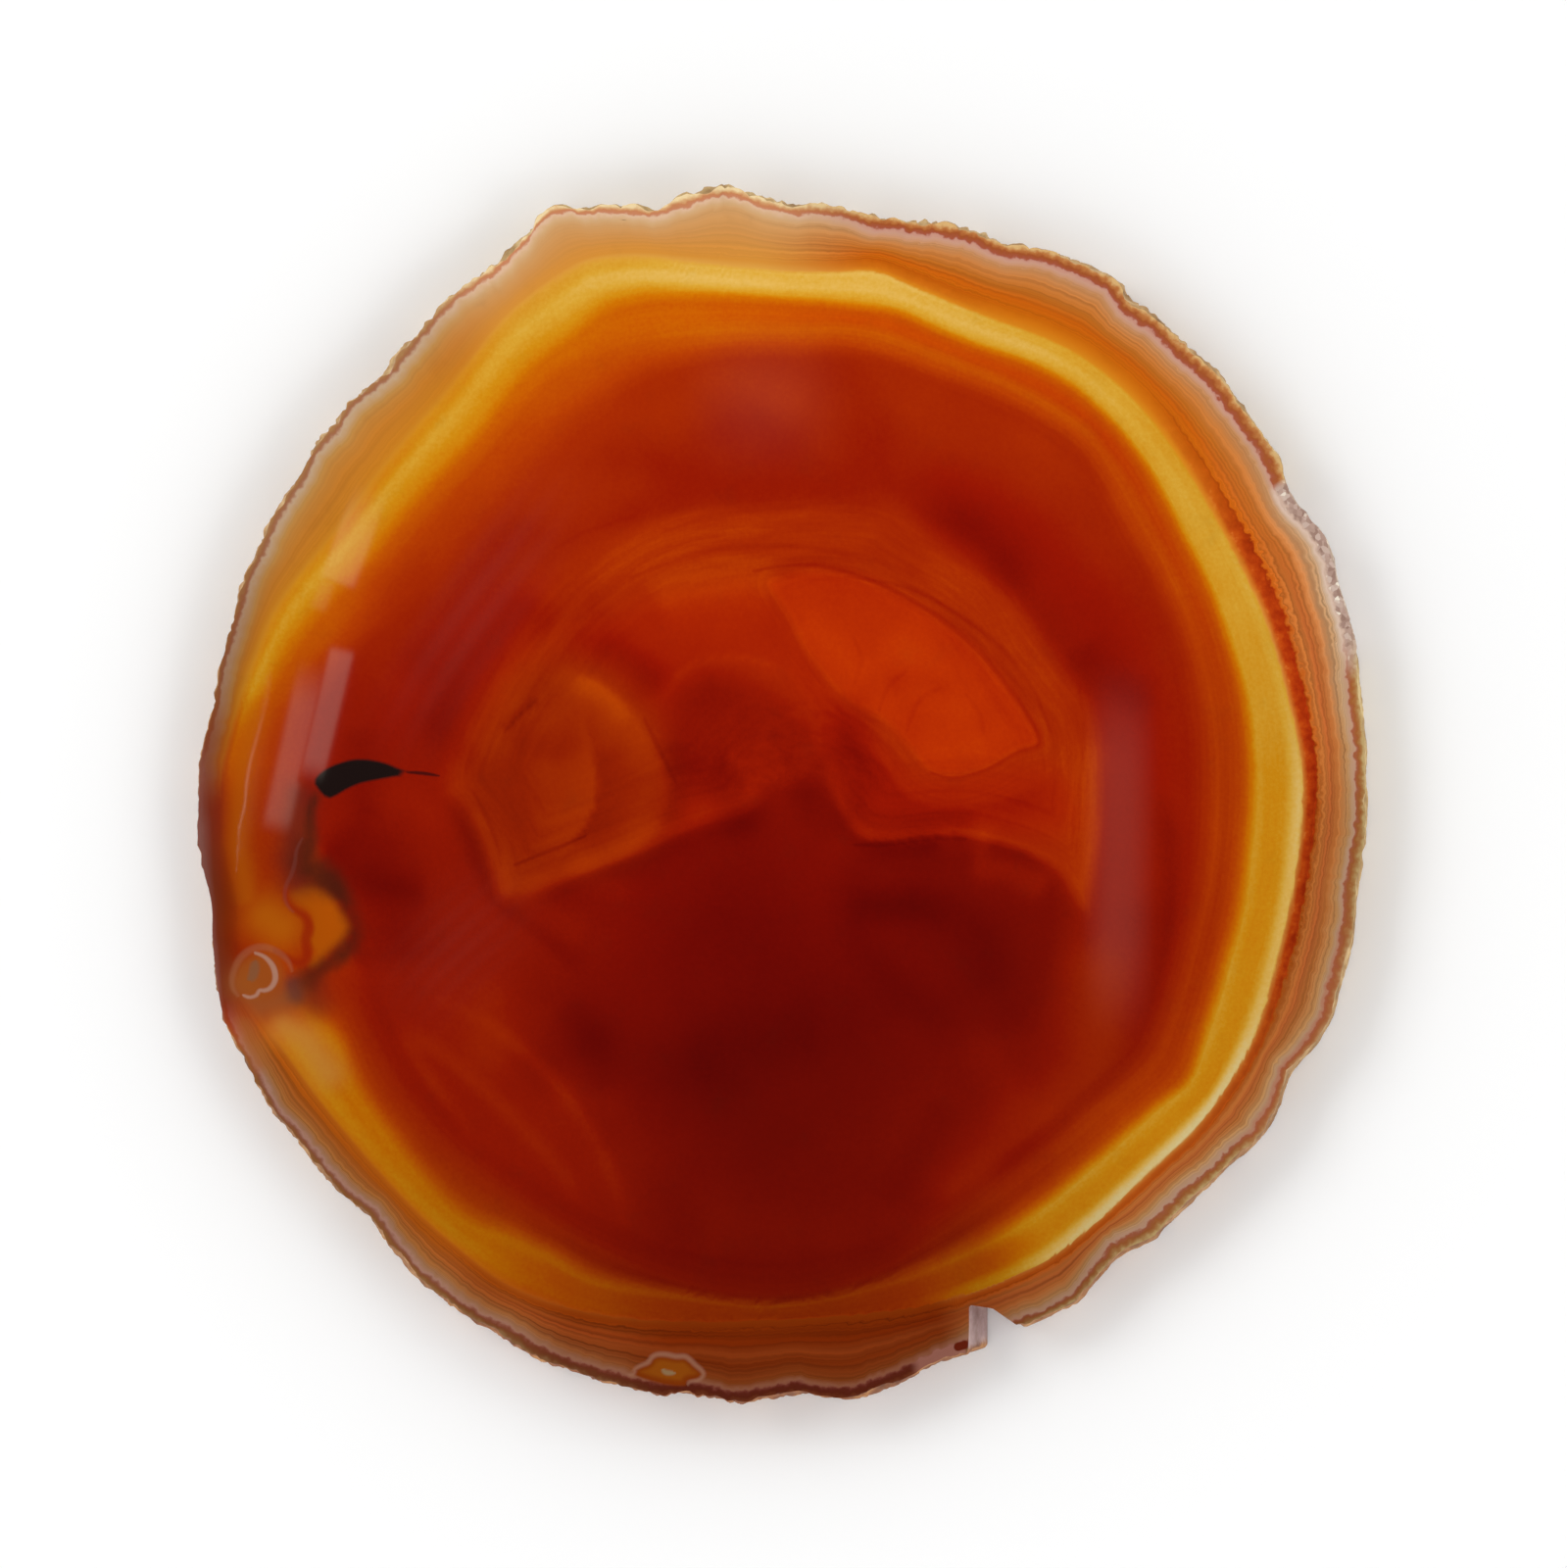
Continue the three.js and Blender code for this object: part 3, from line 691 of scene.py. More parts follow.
def smooth_line(points, pieces=6, closed=False):
    """A smooth line through the points: the cubic whose slope at each point runs between its neighbours."""
    if closed:
        ahead = np.concatenate([points[-1:], points, points[:2]])
    else:
        ahead = np.concatenate([2 * points[:1] - points[1:2], points, 2 * points[-1:] - points[-2:-1]])
    a, b, c, d = ahead[:-3, None], ahead[1:-2, None], ahead[2:-1, None], ahead[3:, None]
    t = np.linspace(0, 1, pieces, endpoint=False)[None, :, None]
    line = 0.5 * (2 * b + (c - a) * t + (2 * a - 5 * b + 4 * c - d) * t**2 + (3 * b - a - 3 * c + d) * t**3)
    line = line.reshape(-1, 2)
    return line if closed else np.concatenate([line, points[-1:]])


def beside(places, line):
    """How each place lies beside a line of short straight pieces: its distance, its side (1 left of the
    way the line runs, -1 right) and how far along the line its nearest point is, from 0 to 1."""
    best = np.full(len(places), FAR_OFF)
    side, along = np.zeros(len(places)), np.zeros(len(places))
    start, step = line[:-1], np.diff(line, axis=0)
    length = np.hypot(step[:, 0], step[:, 1])
    run = np.r_[0, np.cumsum(length)]
    for p, v, size, before in zip(start, step, length, run):
        away = places - p
        part = np.clip((away @ v) / size**2, 0, 1)
        gap = np.hypot(*(away - part[:, None] * v).T)
        near = gap < best
        best[near] = gap[near]
        side[near] = np.sign(v[0] * away[near, 1] - v[1] * away[near, 0])
        along[near] = (before + part[near] * size) / run[-1]
    return best, side, along


def inside_by(places, outline, pieces=3):
    """Distance from a smooth closed outline of the photograph, above 0 inside it and below 0 outside."""
    outline = smooth_line(from_photo(outline), pieces, closed=True)
    closed = np.concatenate([outline, outline[:1]])
    gap = beside(places, closed)[0]
    crossings = np.zeros(len(places), int)
    for (x0, y0), (x1, y1) in zip(closed[:-1], closed[1:]):
        level = (y0 > places[:, 1]) != (y1 > places[:, 1])
        if y0 != y1:
            crossings += level & (places[:, 0] < (x1 - x0) * (places[:, 1] - y0) / (y1 - y0) + x0)
    return np.where(crossings % 2 == 1, gap, -gap)


def near_line(places, points, reach):
    """1 on a line of the photograph, fading over the reach in mm."""
    return fade(beside(places, from_photo(points))[0], reach)


def contour_radius(points, bearing, soften=1.2):
    """A closed line's radius at each bearing, softened over a degree or so."""
    line = from_photo(points)
    own, radius = np.arctan2(line[:, 1], line[:, 0]), np.hypot(line[:, 0], line[:, 1])
    order = np.argsort(own)
    return soft_outline(bearing, own[order], radius[order], soften)


def slow_waves(places, size, seed):
    """Two smooth random shifts in mm for each place: sums of five long waves in chance directions."""
    rng = np.random.default_rng(seed)
    shift = np.zeros_like(places)
    for k in range(5):
        turn, phase = rng.uniform(0, 2 * np.pi, 2)
        wave = np.array([np.cos(turn), np.sin(turn)]) / (size * (1 + 0.4 * k))
        swing = np.sin(2 * np.pi * places @ wave + phase)
        shift += swing[:, None] * [np.sin(turn), np.cos(turn * 2)] / 5
    return shift


def growth_bands(places, edge):
    """The band coordinate: 0 at the hub, 1 where the dark red ends, 2 on the amber stripe, 3 and 4 at the
    cream band's edges, 5 where the red line ends, 6 and 7 beside the lavender line and 8 at the face's
    edge, straight between them along each bearing. edge is the face's whole rim at each place."""
    bearing = np.arctan2(places[:, 1], places[:, 0])
    radius = np.hypot(places[:, 0], places[:, 1])
    width = all_by_bearing(np.degrees(bearing), BAND_WIDTHS)
    cream_in = contour_radius(CREAM_INSIDE, bearing)
    cream_out = contour_radius(CREAM_OUTSIDE, bearing)
    amber = contour_radius(AMBER_STRIPE, bearing, 2)
    rind = width.rind + 0.1 * lumps(bearing, 0 * bearing, 170, 1, 21)
    rind = rind + 0.24 * np.abs(lumps(bearing, 0 * bearing, 420, 1, 22)) - 0.1
    line_in = edge - rind - width.lavender
    knots = [0 * radius, np.minimum(amber - width.inside_amber, cream_in - 5), amber, cream_in, cream_out,
             np.minimum(cream_out + width.red_line, line_in - 0.4), line_in, edge - rind, edge]
    for k in (4, 5, 6):
        knots[k] = np.maximum(np.minimum(knots[k], knots[k + 1] - 0.1), knots[k - 1] + 0.1)
    for k in (7, 8):
        knots[k] = np.maximum(knots[k], knots[k - 1] + 0.1)
    return sum(np.clip((radius - low) / (high - low), 0, 1) for low, high in zip(knots[:-1], knots[1:]))


def edge_softness(places, soft):
    """How softly an area's edge fades, in mm: the same everywhere, or blended by nearness between spots
    given as (x, y, softness)."""
    if not isinstance(soft, list):
        return soft * PHOTO_PIXEL
    weight = [1 / (np.hypot(*(places - from_photo(spot[:2])).T) ** 2 + 9) ** 1.5 for spot in soft]
    return sum(w * spot[2] for w, spot in zip(weight, soft)) / sum(weight) * PHOTO_PIXEL


def paleness(places):
    """How pale the red middle is at each place: a base value, areas with soft edges, and folds that fade
    by the square of the distance over a reach of their own on either side, thinning to their ends."""
    pale = np.full(len(places), BASE_PALENESS)
    for outline, soft, change in AREAS:
        soft = edge_softness(places, soft)
        pale += change * smooth_step(inside_by(places, outline), -soft, soft)
    for points, left, right, change in FOLDS:
        line = smooth_line(from_photo(points), 4)
        gap, side, along = beside(places, line)
        reach = np.where(side > 0, left, right) * PHOTO_PIXEL
        length = np.hypot(*np.diff(line, axis=0).T).sum()
        thin = np.clip(length / (max(left, right) * PHOTO_PIXEL) / 3 - 0.7, 0, 1)
        ends = smooth_step(along, -0.02, 0.18) * smooth_step(1 - along, -0.02, 0.18)
        pale += change * fade(gap, reach) * (1 - thin + thin * ends)
    return pale


def strongest_area(places, areas):
    """The strength of the strongest of a set of areas with soft edges at each place."""
    share = np.zeros(len(places))
    for outline, soft, strength in areas:
        soft = soft * PHOTO_PIXEL
        share = np.maximum(share, strength * smooth_step(inside_by(places, outline), -soft, soft))
    return share


def line_shares(count, line):
    """How far along a smoothed line each of the points it was drawn through lies, from 0 to 1."""
    run = np.r_[0, np.cumsum(np.hypot(*np.diff(line, axis=0).T))]
    return run[::(len(line) - 1) // (count - 1)] / run[-1]


def nearest_line(places, *lines):
    """The nearest of a set of fine lines at each place: signed distance from it, its half width there and
    its strength. A line has one half width that tapers to both ends, or one for each point. The half width
    drops below 0 far from the line, so that no seam between two lines shows."""
    offset, half, strong = np.full(len(places), 9.0), np.full(len(places), -9.0), np.zeros(len(places))
    best = np.full(len(places), FAR_OFF)
    for points, width, strength in lines:
        line = smooth_line(from_photo(points), 6)
        gap, side, along = beside(places, line)
        if isinstance(width, tuple):
            wide = np.interp(along, line_shares(len(width), line), width)
        else:
            wide = width * np.sin(np.pi * np.clip(along, 0.0, 1.0)) ** 0.5
        near = gap < best
        best[near] = gap[near]
        offset[near] = (gap * side)[near]
        half[near] = (wide * PHOTO_PIXEL - np.maximum(gap - 0.7, 0))[near]
        half[near & ((along <= 0) | (along >= 1))] = -0.5
        strong[near] = strength
    return offset, half, strong


def soft_trail(places, trail):
    """A trail of smoke: its strength at the nearest point, fading by the square of the distance."""
    trail = np.array(trail, float)
    line = smooth_line(from_photo(trail[:, :2]), 4)
    gap, _, along = beside(places, line)
    wide, strong = [np.interp(along, line_shares(len(trail), line), trail[:, k]) for k in (2, 3)]
    return strong * fade(gap, wide * PHOTO_PIXEL)


def middle_fields(places, warped, around, band):
    """The look of the red middle and of the bands round it: how pale, how much paler along the bands, how
    dark the painted shade makes it, darker towards the bottom, and where it is redder or browner."""
    reach = np.hypot(*places.T)
    pale = paleness(warped) + around.outer_glow * smooth_step(reach, 24, 46)
    lift = (around.amber_lift * smooth_step(band, 0.7, 1.7) * smooth_step(-band, -3.0, -2.3)
            + around.early_lift * fade(band - 1.4, 0.45)
            - around.ochre_dip * smooth_step(band, 3.1, 3.45) * smooth_step(-band, -3.85, -3.6)
            - around.faded * smooth_step(band, 2.6, 3.3)
            + around.crest_lift * smooth_step(band, 3.6, 3.95))
    # Painted shade: a blend of the middle's and the rim's shade, darker towards the bottom
    share = smooth_step(band, 1.0, 2.6)
    shade = around.middle_shade * (1 - share) + around.rim_shade * share
    shade = 1 + (shade - 1) * smooth_step(reach, 12, 40)
    scarlet = strongest_area(warped, SCARLET_AREAS) * smooth_step(-band, -2.2, -1.2)
    scarlet = scarlet + around.ruddy * fade(band - 2.45, 0.25)
    return (pale, lift, shade), (scarlet, strongest_area(warped, OCHRE_AREAS))


def paint_fields(corners, part_of, columns):
    """Every field that the finishes read, at each corner of the stone: three numbers each. The back's
    places are stretched to the face's outline and shifted a little by slow waves, as of a cut made
    elsewhere in the stone."""
    places = corners[:, :2].copy()
    bearing = np.arctan2(places[:, 1], places[:, 0])
    degrees = np.degrees(bearing)
    face_edge = whole_rim(columns, bearing, SOLID_EDGE) + face_reach(columns, bearing)
    back_edge = whole_rim(columns, bearing, 0)
    chip = between(degrees, CHIP_ENDS, (-0.1, 0.1), (-0.1, 0.1))
    chip = chip * smooth_step(back_edge - np.hypot(*places.T), 0.25, 0.6)
    druse = between(degrees, DRUSE_ENDS, (0, 6), (0, np.where(part_of == WALL, 2.5, 1.0)))
    back = part_of == BACK
    places[back] *= (face_edge / back_edge)[back, None]
    near_edge = np.minimum(1, (face_edge[back] - np.hypot(*places[back].T)) / BACK_STILL_RIM)
    places[back] += slow_waves(places[back], *BACK_WAVES) * near_edge[:, None] * BACK_SHIFT
    warped = places + FOLD_SHIFT * slow_waves(places, *FOLD_WAVES)
    band = growth_bands(places, face_edge)
    around = all_by_bearing(degrees, RIM_LOOK)
    look, (scarlet, ochre_tone) = middle_fields(places, warped, around, band)

    brown_edge = around.brown_edge * (1 - smooth_step(face_edge - np.hypot(*places.T), 0.3, 4.5))
    dusk = np.maximum(0.75 * near_line(places, DUSK_UPPER, 1.9), 0.5 * near_line(places, DUSK_LOWER, 1.8))
    glow = np.maximum(near_line(places, GLOW_NEAR_WHORL, 2.8), 0.7 * near_line(places, GLOW_AT_RIM, 1.5))
    halo = np.maximum(near_line(places, HALO_BELOW_WHORL, 1.7), 0.8 * near_line(places, HALO_TAIL, 1.1))
    fields = {
        "growth": (np.cos(bearing), np.sin(bearing), band),
        "look": look,
        "warmth": (scarlet, brown_edge, ochre_tone),
        "rim_look": (around.blur, around.redness, druse),
        "wall_look": (around.olive, chip, around.kept),
        "skin_high": (around.top, around.crest, around.upper_left),
        "skin_low": (around.lower_left, around.deep, around.skin_shade),
        "dark_line": nearest_line(warped, *DARK_LINES),
        "faint_line": nearest_line(warped, *FAINT_LINES),
        **{name: nearest_line(places, line) for name, line in STROKES.items()},
        "smoke": (soft_trail(places, SMOKE_TRAIL), dusk, glow),
        "halo": (halo, near_line(corners[:, :2], CHIP_SPOT, 0.55), near_line(places, SMOKE_COOL, 0.9)),
        "tints": (near_line(places, PALE_STREAK, 1.7), around.mauve, near_line(places, DULL_RIM, 1.4)),
        "marks": (inside_by(places, AMBER_SPOT), around.rosy, inside_by(places, EYE_OUTLINE)),
        "edges": (inside_by(places, SLIT_OUTLINE), inside_by(warped, LENS_OUTLINE, 4),
                  inside_by(places, DOME_OUTLINE)),
    }
    offset, half, strong = fields["slit_tip"]
    fields["slit_tip"] = offset, np.where(offset < 5, half, -1), strong
    return {name: np.stack(values, 1) for name, values in fields.items()}


# The map for baking: its width in mm, the corner and size of the face's and of the back's part, and the
# three strips of the wall
MAP_WIDTH = 140.0
FACE_PART = (0.005, 0.005, 0.69)
BACK_PART = (0.705, 0.005, 0.29)
STRIP_COUNT, STRIP_START, STRIP_PITCH, STRIP_HEIGHT = 3, 0.71, 0.09, 0.075


def bake_map(corners, triangles, finish):
    """The map for baking: the face in the large square, the back in a small one beside it, and the wall
    unrolled into three strips above them."""
    at = corners[triangles]
    flat = at[:, :, :2] / MAP_WIDTH + 0.5
    uv = np.where((finish == FACE)[:, None, None], flat * FACE_PART[2] + FACE_PART[:2],
                  flat * BACK_PART[2] + BACK_PART[:2])
    wall = finish == WALL
    turn = np.arctan2(at[wall][:, :, 1], at[wall][:, :, 0]) / (2 * np.pi) + 0.5
    turn = np.where((turn.max(1) - turn.min(1) > 0.5)[:, None] & (turn < 0.5), turn + 1, turn)
    row = np.minimum(np.floor(turn.mean(1) * STRIP_COUNT), STRIP_COUNT - 1)[:, None]
    along = (turn * STRIP_COUNT - row) * 0.97 + 0.01
    up = STRIP_START + row * STRIP_PITCH + at[wall][:, :, 2] / FACE_Z * STRIP_HEIGHT
    uv[wall] = np.stack([along, up], 2)
    return uv


def tint(red, green, blue):
    """A colour given as it looks on a screen, 0 to 255, as the light it stands for."""
    part = np.array([red, green, blue]) / 255
    light = np.where(part <= 0.04045, part / 12.92, ((part + 0.055) / 1.055) ** 2.4)
    return (*[float(v) for v in light], 1.0)


def grey(value):
    return (value, value, value, 1.0)


def colour_stops(rows, start=0.0, span=1.0):
    """Ramp stops from rows of place, red, green and blue; start is the ramp's 0 and span its length."""
    return [((at - start) / span, tint(*rgb)) for at, *rgb in rows]


def grey_stops(rows, span=1.0):
    return [(at / span, grey(value)) for at, value in rows]


class Nodes:
    """A node tree, with a short call for each kind of node that it gets."""

    def __init__(self, tree):
        self.tree = tree

    def node(self, kind, feeds=None, **settings):
        made = self.tree.nodes.new(kind)
        for name, value in settings.items():
            setattr(made, name, value)
        for socket, value in (feeds or {}).items():
            if isinstance(value, bpy.types.NodeSocket):
                self.tree.links.new(value, made.inputs[socket])
            else:
                made.inputs[socket].default_value = value
        return made

    def calc(self, operation, *values):
        return self.node("ShaderNodeMath", dict(enumerate(values)), operation=operation).outputs[0]

    def times(self, first, second):
        return self.calc("MULTIPLY", first, second)

    def times_plus(self, first, second, third):
        """The first times the second, plus the third."""
        return self.calc("MULTIPLY_ADD", first, second, third)

    def step(self, value, low, high):
        """0 at low, 1 at high, smooth between them; low may be above high."""
        feeds = {"Value": value, "From Min": low, "From Max": high}
        return self.node("ShaderNodeMapRange", feeds, interpolation_type="SMOOTHSTEP").outputs["Result"]

    def split(self, vector):
        made = self.node("ShaderNodeSeparateXYZ", {0: vector})
        return [made.outputs[k] for k in range(3)]

    def joined(self, x, y, z):
        return self.node("ShaderNodeCombineXYZ", {0: x, 1: y, 2: z}).outputs[0]

    def ramp(self, value, stops):
        made = self.node("ShaderNodeValToRGB", {"Fac": value})
        elements = made.color_ramp.elements
        for position, colour in stops[1:-1]:
            elements.new(position).color = colour
        for element, (position, colour) in zip((elements[0], elements[-1]), (stops[0], stops[-1])):
            element.position, element.color = position, colour
        return made.outputs["Color"]


class Finish(Nodes):
    """One finish's nodes."""

    def __init__(self, name):
        self.material = bpy.data.materials.new(name)
        self.material.use_nodes = True
        super().__init__(self.material.node_tree)
        self.tree.nodes.clear()

    def coordinates(self):
        return self.node("ShaderNodeTexCoord").outputs["Object"]

    def field(self, name):
        """The three numbers of one of the stone's own fields."""
        return self.split(self.node("ShaderNodeAttribute", attribute_name=name).outputs["Vector"])

    def stroke(self, name, low, high):
        """A fine line's strength here, from its field of signed distance, half width and strength."""
        offset, half, strong = self.field(name)
        inside = self.calc("SUBTRACT", half, self.calc("ABSOLUTE", offset))
        return self.times(self.step(inside, low, high), strong)

    def noise(self, place, scale, detail=2.0, roughness=0.5):
        feeds = {"Vector": place, "Scale": scale, "Detail": detail, "Roughness": roughness}
        return self.node("ShaderNodeTexNoise", feeds).outputs["Fac"]

    def sway(self, *settings):
        """Noise between -0.5 and 0.5."""
        return self.calc("SUBTRACT", self.noise(*settings), 0.5)

    def blend(self, share, first, second):
        """The first number where the share is 0, the second where it is 1."""
        return self.node("ShaderNodeMix", {0: share, 2: first, 3: second}).outputs[0]

    def over(self, under, mask, colour, way="MIX"):
        """A colour laid over another where the mask says so."""
        feeds = {0: mask, 6: under, 7: colour}
        return self.node("ShaderNodeMix", feeds, data_type="RGBA", blend_type=way).outputs[2]

    def layers(self, colour, *rows):
        """Colours laid over in turn, each where its mask says so: another colour of the tree, or red,
        green and blue as they look on a screen."""
        for mask, top in rows:
            colour = self.over(colour, mask, tint(*top) if isinstance(top, tuple) else top)
        return colour

    def darkened(self, colour, value):
        return self.over(colour, 1.0, self.joined(value, value, value), "MULTIPLY")

    def sparkling_crystals(self, coordinates, stops):
        """Small flat patches, each in a chance colour of a ramp: grey and white quartz, the whitest ones
        painted sparkle of lit facets.
        """
        patches = self.node("ShaderNodeTexVoronoi", {"Vector": coordinates, "Scale": CRYSTALS_A_METRE})
        return self.ramp(self.split(patches.outputs["Color"])[0], colour_stops(stops))

    def bump(self, height, strength, distance):
        feeds = {"Height": height, "Strength": strength, "Distance": distance}
        return self.node("ShaderNodeBump", feeds).outputs[0]

    def surface(self, colour, roughness, **feeds):
        """The finish's one shader, as the kind of glossy stuff that quartz is."""
        feeds = {"Base Color": colour, "Roughness": roughness, "IOR": QUARTZ_IOR, **feeds}
        shader = self.node("ShaderNodeBsdfPrincipled", feeds)
        self.node("ShaderNodeOutputMaterial", {"Surface": shader.outputs[0]})
        return self.material


# Ramps of colours as they look on a screen, 0 to 255: by paleness inside the cream band, up to PALEST,
# and by band coordinate in the skin
PALENESS_COLOURS = [
    (0.0, 84, 2, 0), (0.12, 108, 5, 0), (0.25, 128, 12, 0), (0.38, 150, 23, 0), (0.5, 168, 42, 0),
    (0.6, 185, 62, 0), (0.7, 199, 88, 0), (0.78, 208, 115, 0), (0.86, 213, 143, 18), (0.93, 219, 165, 52),
    (1.0, 227, 182, 90), (1.1, 228, 206, 144),
]
OCHRE_COLOURS = [
    (0.0, 80, 8, 0), (0.25, 122, 24, 0), (0.38, 144, 38, 0), (0.5, 161, 53, 0), (0.6, 177, 68, 0),
    (0.75, 198, 98, 2), (1.1, 220, 170, 70),
]
SCARLET_COLOURS = [
    (0.0, 84, 2, 0), (0.25, 128, 8, 0), (0.38, 152, 14, 0), (0.5, 170, 24, 0), (0.6, 188, 36, 0),
    (0.7, 203, 50, 0), (0.85, 214, 80, 0), (1.1, 220, 150, 60),
]
PALEST = 1.1
BAND_PALENESS = [
    (1.0, 0.33), (1.5, 0.43), (2.0, 0.56), (2.35, 0.54), (2.75, 0.63), (3.0, 0.77), (3.14, 0.89),
    (3.45, 0.93), (3.7, 0.93), (3.82, 0.97), (3.92, 1.0), (4.0, 0.98),
]
SOFT_BAND_PALENESS = [
    (1.0, 0.34), (1.6, 0.47), (2.2, 0.6), (2.7, 0.69), (3.1, 0.82), (3.45, 0.89), (3.85, 0.96), (4.0, 0.97),
]
# Towards the face's very edge the right, top and crest ramps turn paler: painted light on the rim's edge,
# over the rind's own tan
SKIN_COLOURS = {
    "right": [
        (4.0, 210, 138, 58), (4.15, 202, 112, 40), (4.5, 194, 94, 24), (5.0, 186, 86, 20),
        (5.22, 190, 110, 50), (5.42, 180, 94, 44), (5.65, 190, 112, 54), (6.0, 190, 138, 86),
        (6.4, 190, 148, 112), (6.88, 193, 150, 124), (7.08, 166, 94, 66), (7.4, 163, 94, 48),
        (7.7, 172, 122, 70), (8.0, 196, 166, 112),
    ],
    "top": [
        (4.0, 215, 135, 28), (4.4, 212, 120, 18), (4.8, 203, 104, 10), (5.2, 193, 91, 12),
        (5.45, 194, 108, 32), (5.75, 197, 122, 60), (6.0, 198, 138, 88), (6.6, 202, 154, 130),
        (6.88, 198, 142, 124), (7.04, 164, 84, 60), (7.4, 162, 82, 40), (7.7, 188, 118, 62),
        (8.0, 218, 176, 116),
    ],
    "crest": [
        (4.0, 222, 162, 72), (4.6, 213, 142, 54), (5.1, 211, 141, 60), (5.45, 206, 142, 74),
        (5.8, 207, 150, 90), (6.4, 211, 168, 120), (6.9, 222, 184, 152), (7.1, 200, 132, 98),
        (7.45, 200, 130, 86), (7.7, 216, 168, 116), (8.0, 238, 212, 162),
    ],
    "upper_left": [
        (4.0, 210, 142, 38), (4.5, 203, 132, 34), (5.0, 198, 123, 31), (5.5, 193, 120, 40),
        (5.8, 191, 126, 54), (6.1, 189, 138, 74), (6.9, 193, 162, 130), (7.05, 188, 150, 120),
        (7.25, 164, 112, 84), (7.5, 160, 103, 68), (8.0, 168, 122, 76),
    ],
    # The lower left's and the bottom's skin colours have painted shade in them, darker towards the bottom,
    # so skin_shade stays 1 there
    "lower_left": [
        (4.0, 170, 92, 18), (4.6, 164, 82, 13), (5.2, 155, 74, 12), (5.5, 152, 80, 27), (6.1, 146, 92, 46),
        (6.6, 148, 106, 80), (6.85, 157, 115, 99), (7.05, 144, 98, 82), (7.25, 130, 78, 58),
        (7.55, 126, 75, 42), (8.0, 130, 86, 46),
    ],
    "deep": [
        (4.0, 124, 46, 2), (5.0, 116, 38, 1), (5.3, 113, 35, 2), (5.5, 121, 48, 13), (5.7, 111, 39, 6),
        (6.1, 114, 54, 20), (6.75, 128, 77, 54), (6.95, 122, 70, 52), (7.1, 102, 46, 34), (7.3, 84, 30, 18),
        (7.65, 80, 28, 12), (8.0, 96, 44, 22),
    ],
}
# How much fine stripes and ripples show, by band coordinate
STRIPE_STRENGTH = [(0.6, 0.0), (0.96, 0.04), (1.6, 0.09), (2.4, 0.1), (3.12, 0.05), (4.0, 0.04)]
RIPPLE_STRENGTH = [
    (0.0, 0.02), (4.0, 0.06), (4.48, 0.2), (4.8, 0.5), (5.04, 0.5), (5.28, 0.15), (6.08, 0.15),
]
# Colours by the value of a noise
MOTTLED_RED = [(0.1, 152, 36, 5), (0.35, 176, 54, 9), (0.55, 193, 74, 15), (0.68, 214, 112, 42)]
# Quartz patches from grey-brown to white; the whitest ones are painted sparkle, as of lit crystal faces
FACE_QUARTZ_AND_SPARKLE = [(0.0, 150, 118, 104), (0.5, 182, 152, 138), (0.85, 204, 180, 166), (0.95, 236, 224, 206)]
WALL_QUARTZ_AND_SPARKLE = [(0.0, 140, 114, 96), (0.5, 178, 150, 132), (0.85, 206, 184, 166), (0.95, 240, 230, 214)]
RIND_COLOURS = {
    "brown": [(0.3, 88, 40, 20), (0.5, 140, 80, 40), (0.7, 186, 130, 74)],
    # The tan ramp is the rind's own tan, lightened where it stands for painted light on the top of the wall
    "tan": [(0.3, 150, 116, 66), (0.5, 190, 160, 104), (0.7, 220, 200, 150)],
    "frosted": [(0.3, 140, 106, 98), (0.55, 170, 140, 136), (0.8, 200, 172, 160)],
}
CRYSTALS_A_METRE = 2000.0
QUARTZ_IOR = 1.54
POLISH_ROUGHNESS = 0.015
CUT_RIND_ROUGHNESS = 0.12
DULL_ROUGHNESS = 0.075
RIND_ROUGHNESS = 0.78
SAWN_ROUGHNESS = 0.42


def middle_value(finish, band, coordinates, blur, kept):
    """How pale the stone is inside the skin: the painted middle with its folds and fine lines, then ramps
    over the bands, with fine stripes, clouds and grain."""
    calc, times, times_plus, step = finish.calc, finish.times, finish.times_plus, finish.step
    around_x, around_y, _ = finish.field("growth")
    pale, lift, _ = finish.field("look")
    _, lens, dome = finish.field("edges")

    def along_growth(value, density, turning, detail):
        """Noise that changes quickly across the bands and slowly along them."""
        place = finish.joined(times(around_x, turning), times(around_y, turning), times(value, density))
        return finish.sway(place, 1.0, detail, 0.6)

    line = calc("ADD", finish.stroke("dark_line", -0.28, 0.15), finish.stroke("faint_line", -0.28, 0.15))
    near_dome = times(step(dome, -2.0, 1.5), step(dome, 13.0, 5.0))
    near_lens = times(step(lens, -6.0, -1.0), step(lens, 2.0, 0.3))
    inner = calc("ADD", pale, times(step(lens, -0.5, 0.5), 0.08))
    inner = times_plus(line, -0.22, inner)
    inner = times_plus(along_growth(dome, 0.9, 3.0, 3.0), times(near_dome, 0.2), inner)
    inner = times_plus(along_growth(lens, 1.6, 3.0, 2.0), times(near_lens, 0.13), inner)

    outward = calc("DIVIDE", band, 4.0)
    crisp, soft, stripes = [finish.ramp(outward, grey_stops(stops, 4.0))
                            for stops in (BAND_PALENESS, SOFT_BAND_PALENESS, STRIPE_STRENGTH)]
    outer = finish.blend(kept, 0.52, finish.blend(blur, crisp, soft))
    value = calc("ADD", finish.blend(step(band, 0.8, 1.5), inner, outer), lift)
    stripes = times(stripes, calc("SUBTRACT", 1.0, times(blur, 0.6)))
    value = times_plus(along_growth(band, 9.0, 2.2, 3.0), stripes, value)
    value = times_plus(finish.sway(coordinates, 70.0, 4.0, 0.6), 0.10, value)
    value = times_plus(finish.sway(coordinates, 2600.0, 2.0), 0.075, value)
    return calc("DIVIDE", value, PALEST), along_growth(band, 14.0, 1.2, 2.0)


